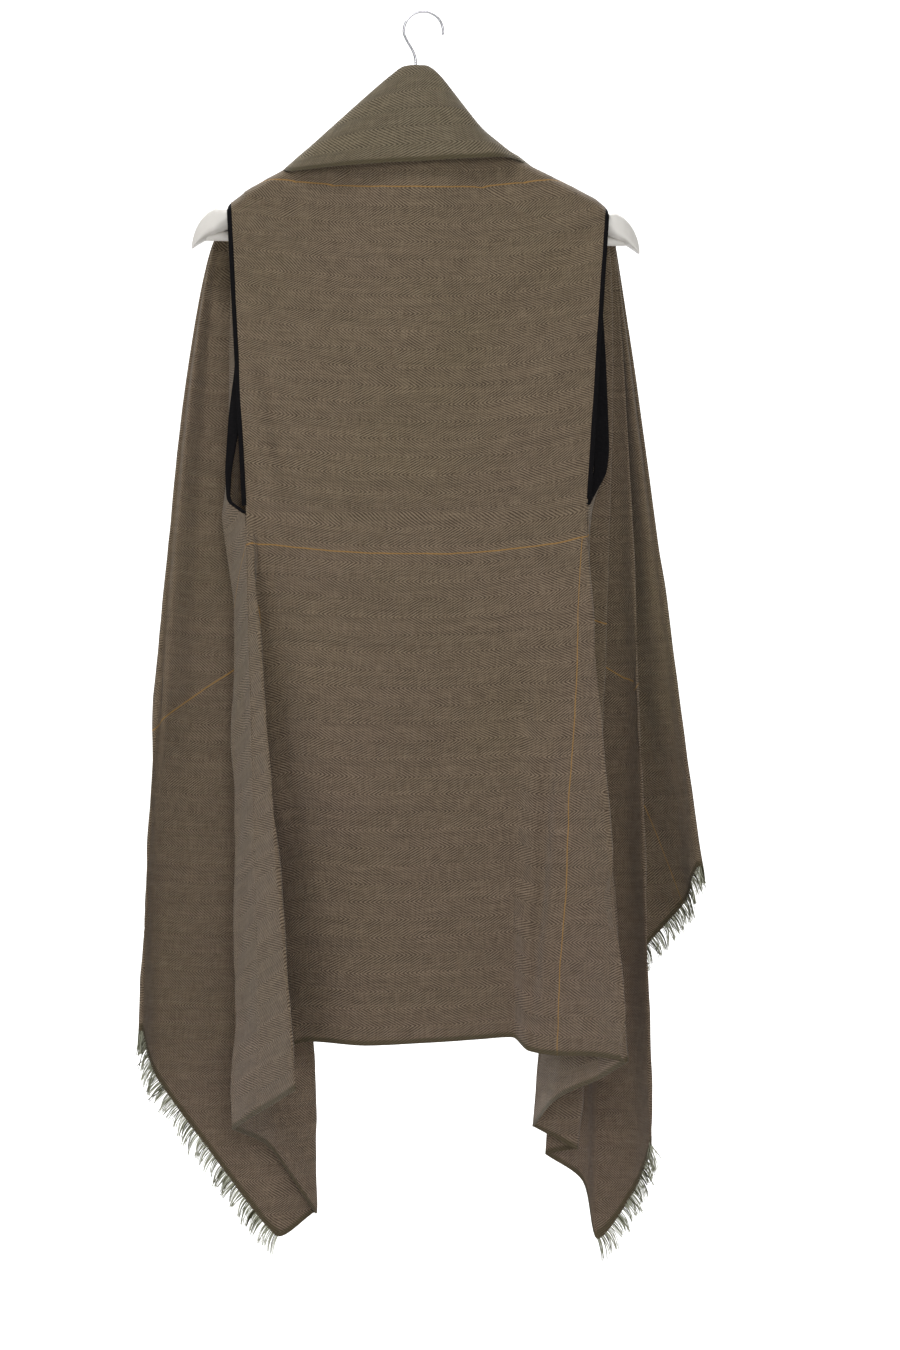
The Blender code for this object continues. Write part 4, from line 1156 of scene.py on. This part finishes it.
yarn = loose_yarn()
fringes = {}
for side in ("left", "right"):
    fringes[side] = make_fringe(side, yarn)
    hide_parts("fringe_" + side)
    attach(fringes[side], "root")

# --- studio ---------------------------------------------------------------------------
# A plain pale paper sweep under and behind the hanging cape. One soft box stands high on the
# left, one in front, one hangs over the paper, and the room lends an even light.
FLOOR = -1.32
SWEEP_START = 2.2           # how far behind the hook the floor begins to curve up
SWEEP_RADIUS = 1.5
SWEEP_FRONT = -6.0
SWEEP_TOP = 4.5
SWEEP_HALF = 7.0


def paper():
    """Matt white paper with very faint cloudiness."""
    sheet = Finish("white_paper")
    cloud = sheet.noise(sheet.node("ShaderNodeTexCoord")["Object"], 0.7, 2.0)
    tones = (0.0, srgb(228, 228, 228)), (1.0, srgb(234, 234, 234))
    return sheet.shade({"Base Color": sheet.ramp(cloud, *tones), "Roughness": 0.9})


def make_sweep():
    """A floor that curves up into a wall through a quarter circle."""
    turn = np.linspace(0, math.pi / 2, 24)
    curve = [(SWEEP_START + SWEEP_RADIUS * math.sin(a),
              FLOOR + SWEEP_RADIUS * (1 - math.cos(a))) for a in turn]
    profile = [(SWEEP_FRONT, FLOOR)] + curve + [(SWEEP_START + SWEEP_RADIUS, SWEEP_TOP)]
    points = [(x, y, z) for y, z in profile for x in (-SWEEP_HALF, SWEEP_HALF)]
    faces = [(2 * k, 2 * k + 1, 2 * k + 3, 2 * k + 2) for k in range(len(profile) - 1)]
    return add_mesh("sweep", np.array(points) / MM, faces, paper())


make_sweep()


def soft_box(name, place, target, size, power):
    """A square area light at a place, turned to a target."""
    light = bpy.data.lights.new(name, "AREA")
    light.size = size
    light.energy = power
    item = bpy.data.objects.new(name, light)
    item.location = place
    x, y, z = np.array(target, float) - np.array(place, float)
    item.rotation_euler = (math.atan2(math.hypot(x, y), -z), 0, math.atan2(x, -y) + math.pi)
    bpy.context.scene.collection.objects.link(item)


MIDDLE = (0, 0, -0.6)
soft_box("key", (-1.2, -1.3, 1.6), MIDDLE, 0.6, 29)
soft_box("fill", (0.4, -3.2, 0.3), MIDDLE, 1.0, 31)
soft_box("paper_light", (0.0, 2.0, 2.3), (0, SWEEP_START, FLOOR), 3.0, 215)
world = bpy.data.worlds.new("white_room")
world.use_nodes = True
background = world.node_tree.nodes["Background"]
background.inputs["Color"].default_value = (1.0, 1.0, 1.0, 1.0)
background.inputs["Strength"].default_value = 0.38
bpy.context.scene.world = world
bpy.context.scene.view_settings.view_transform = "Standard"
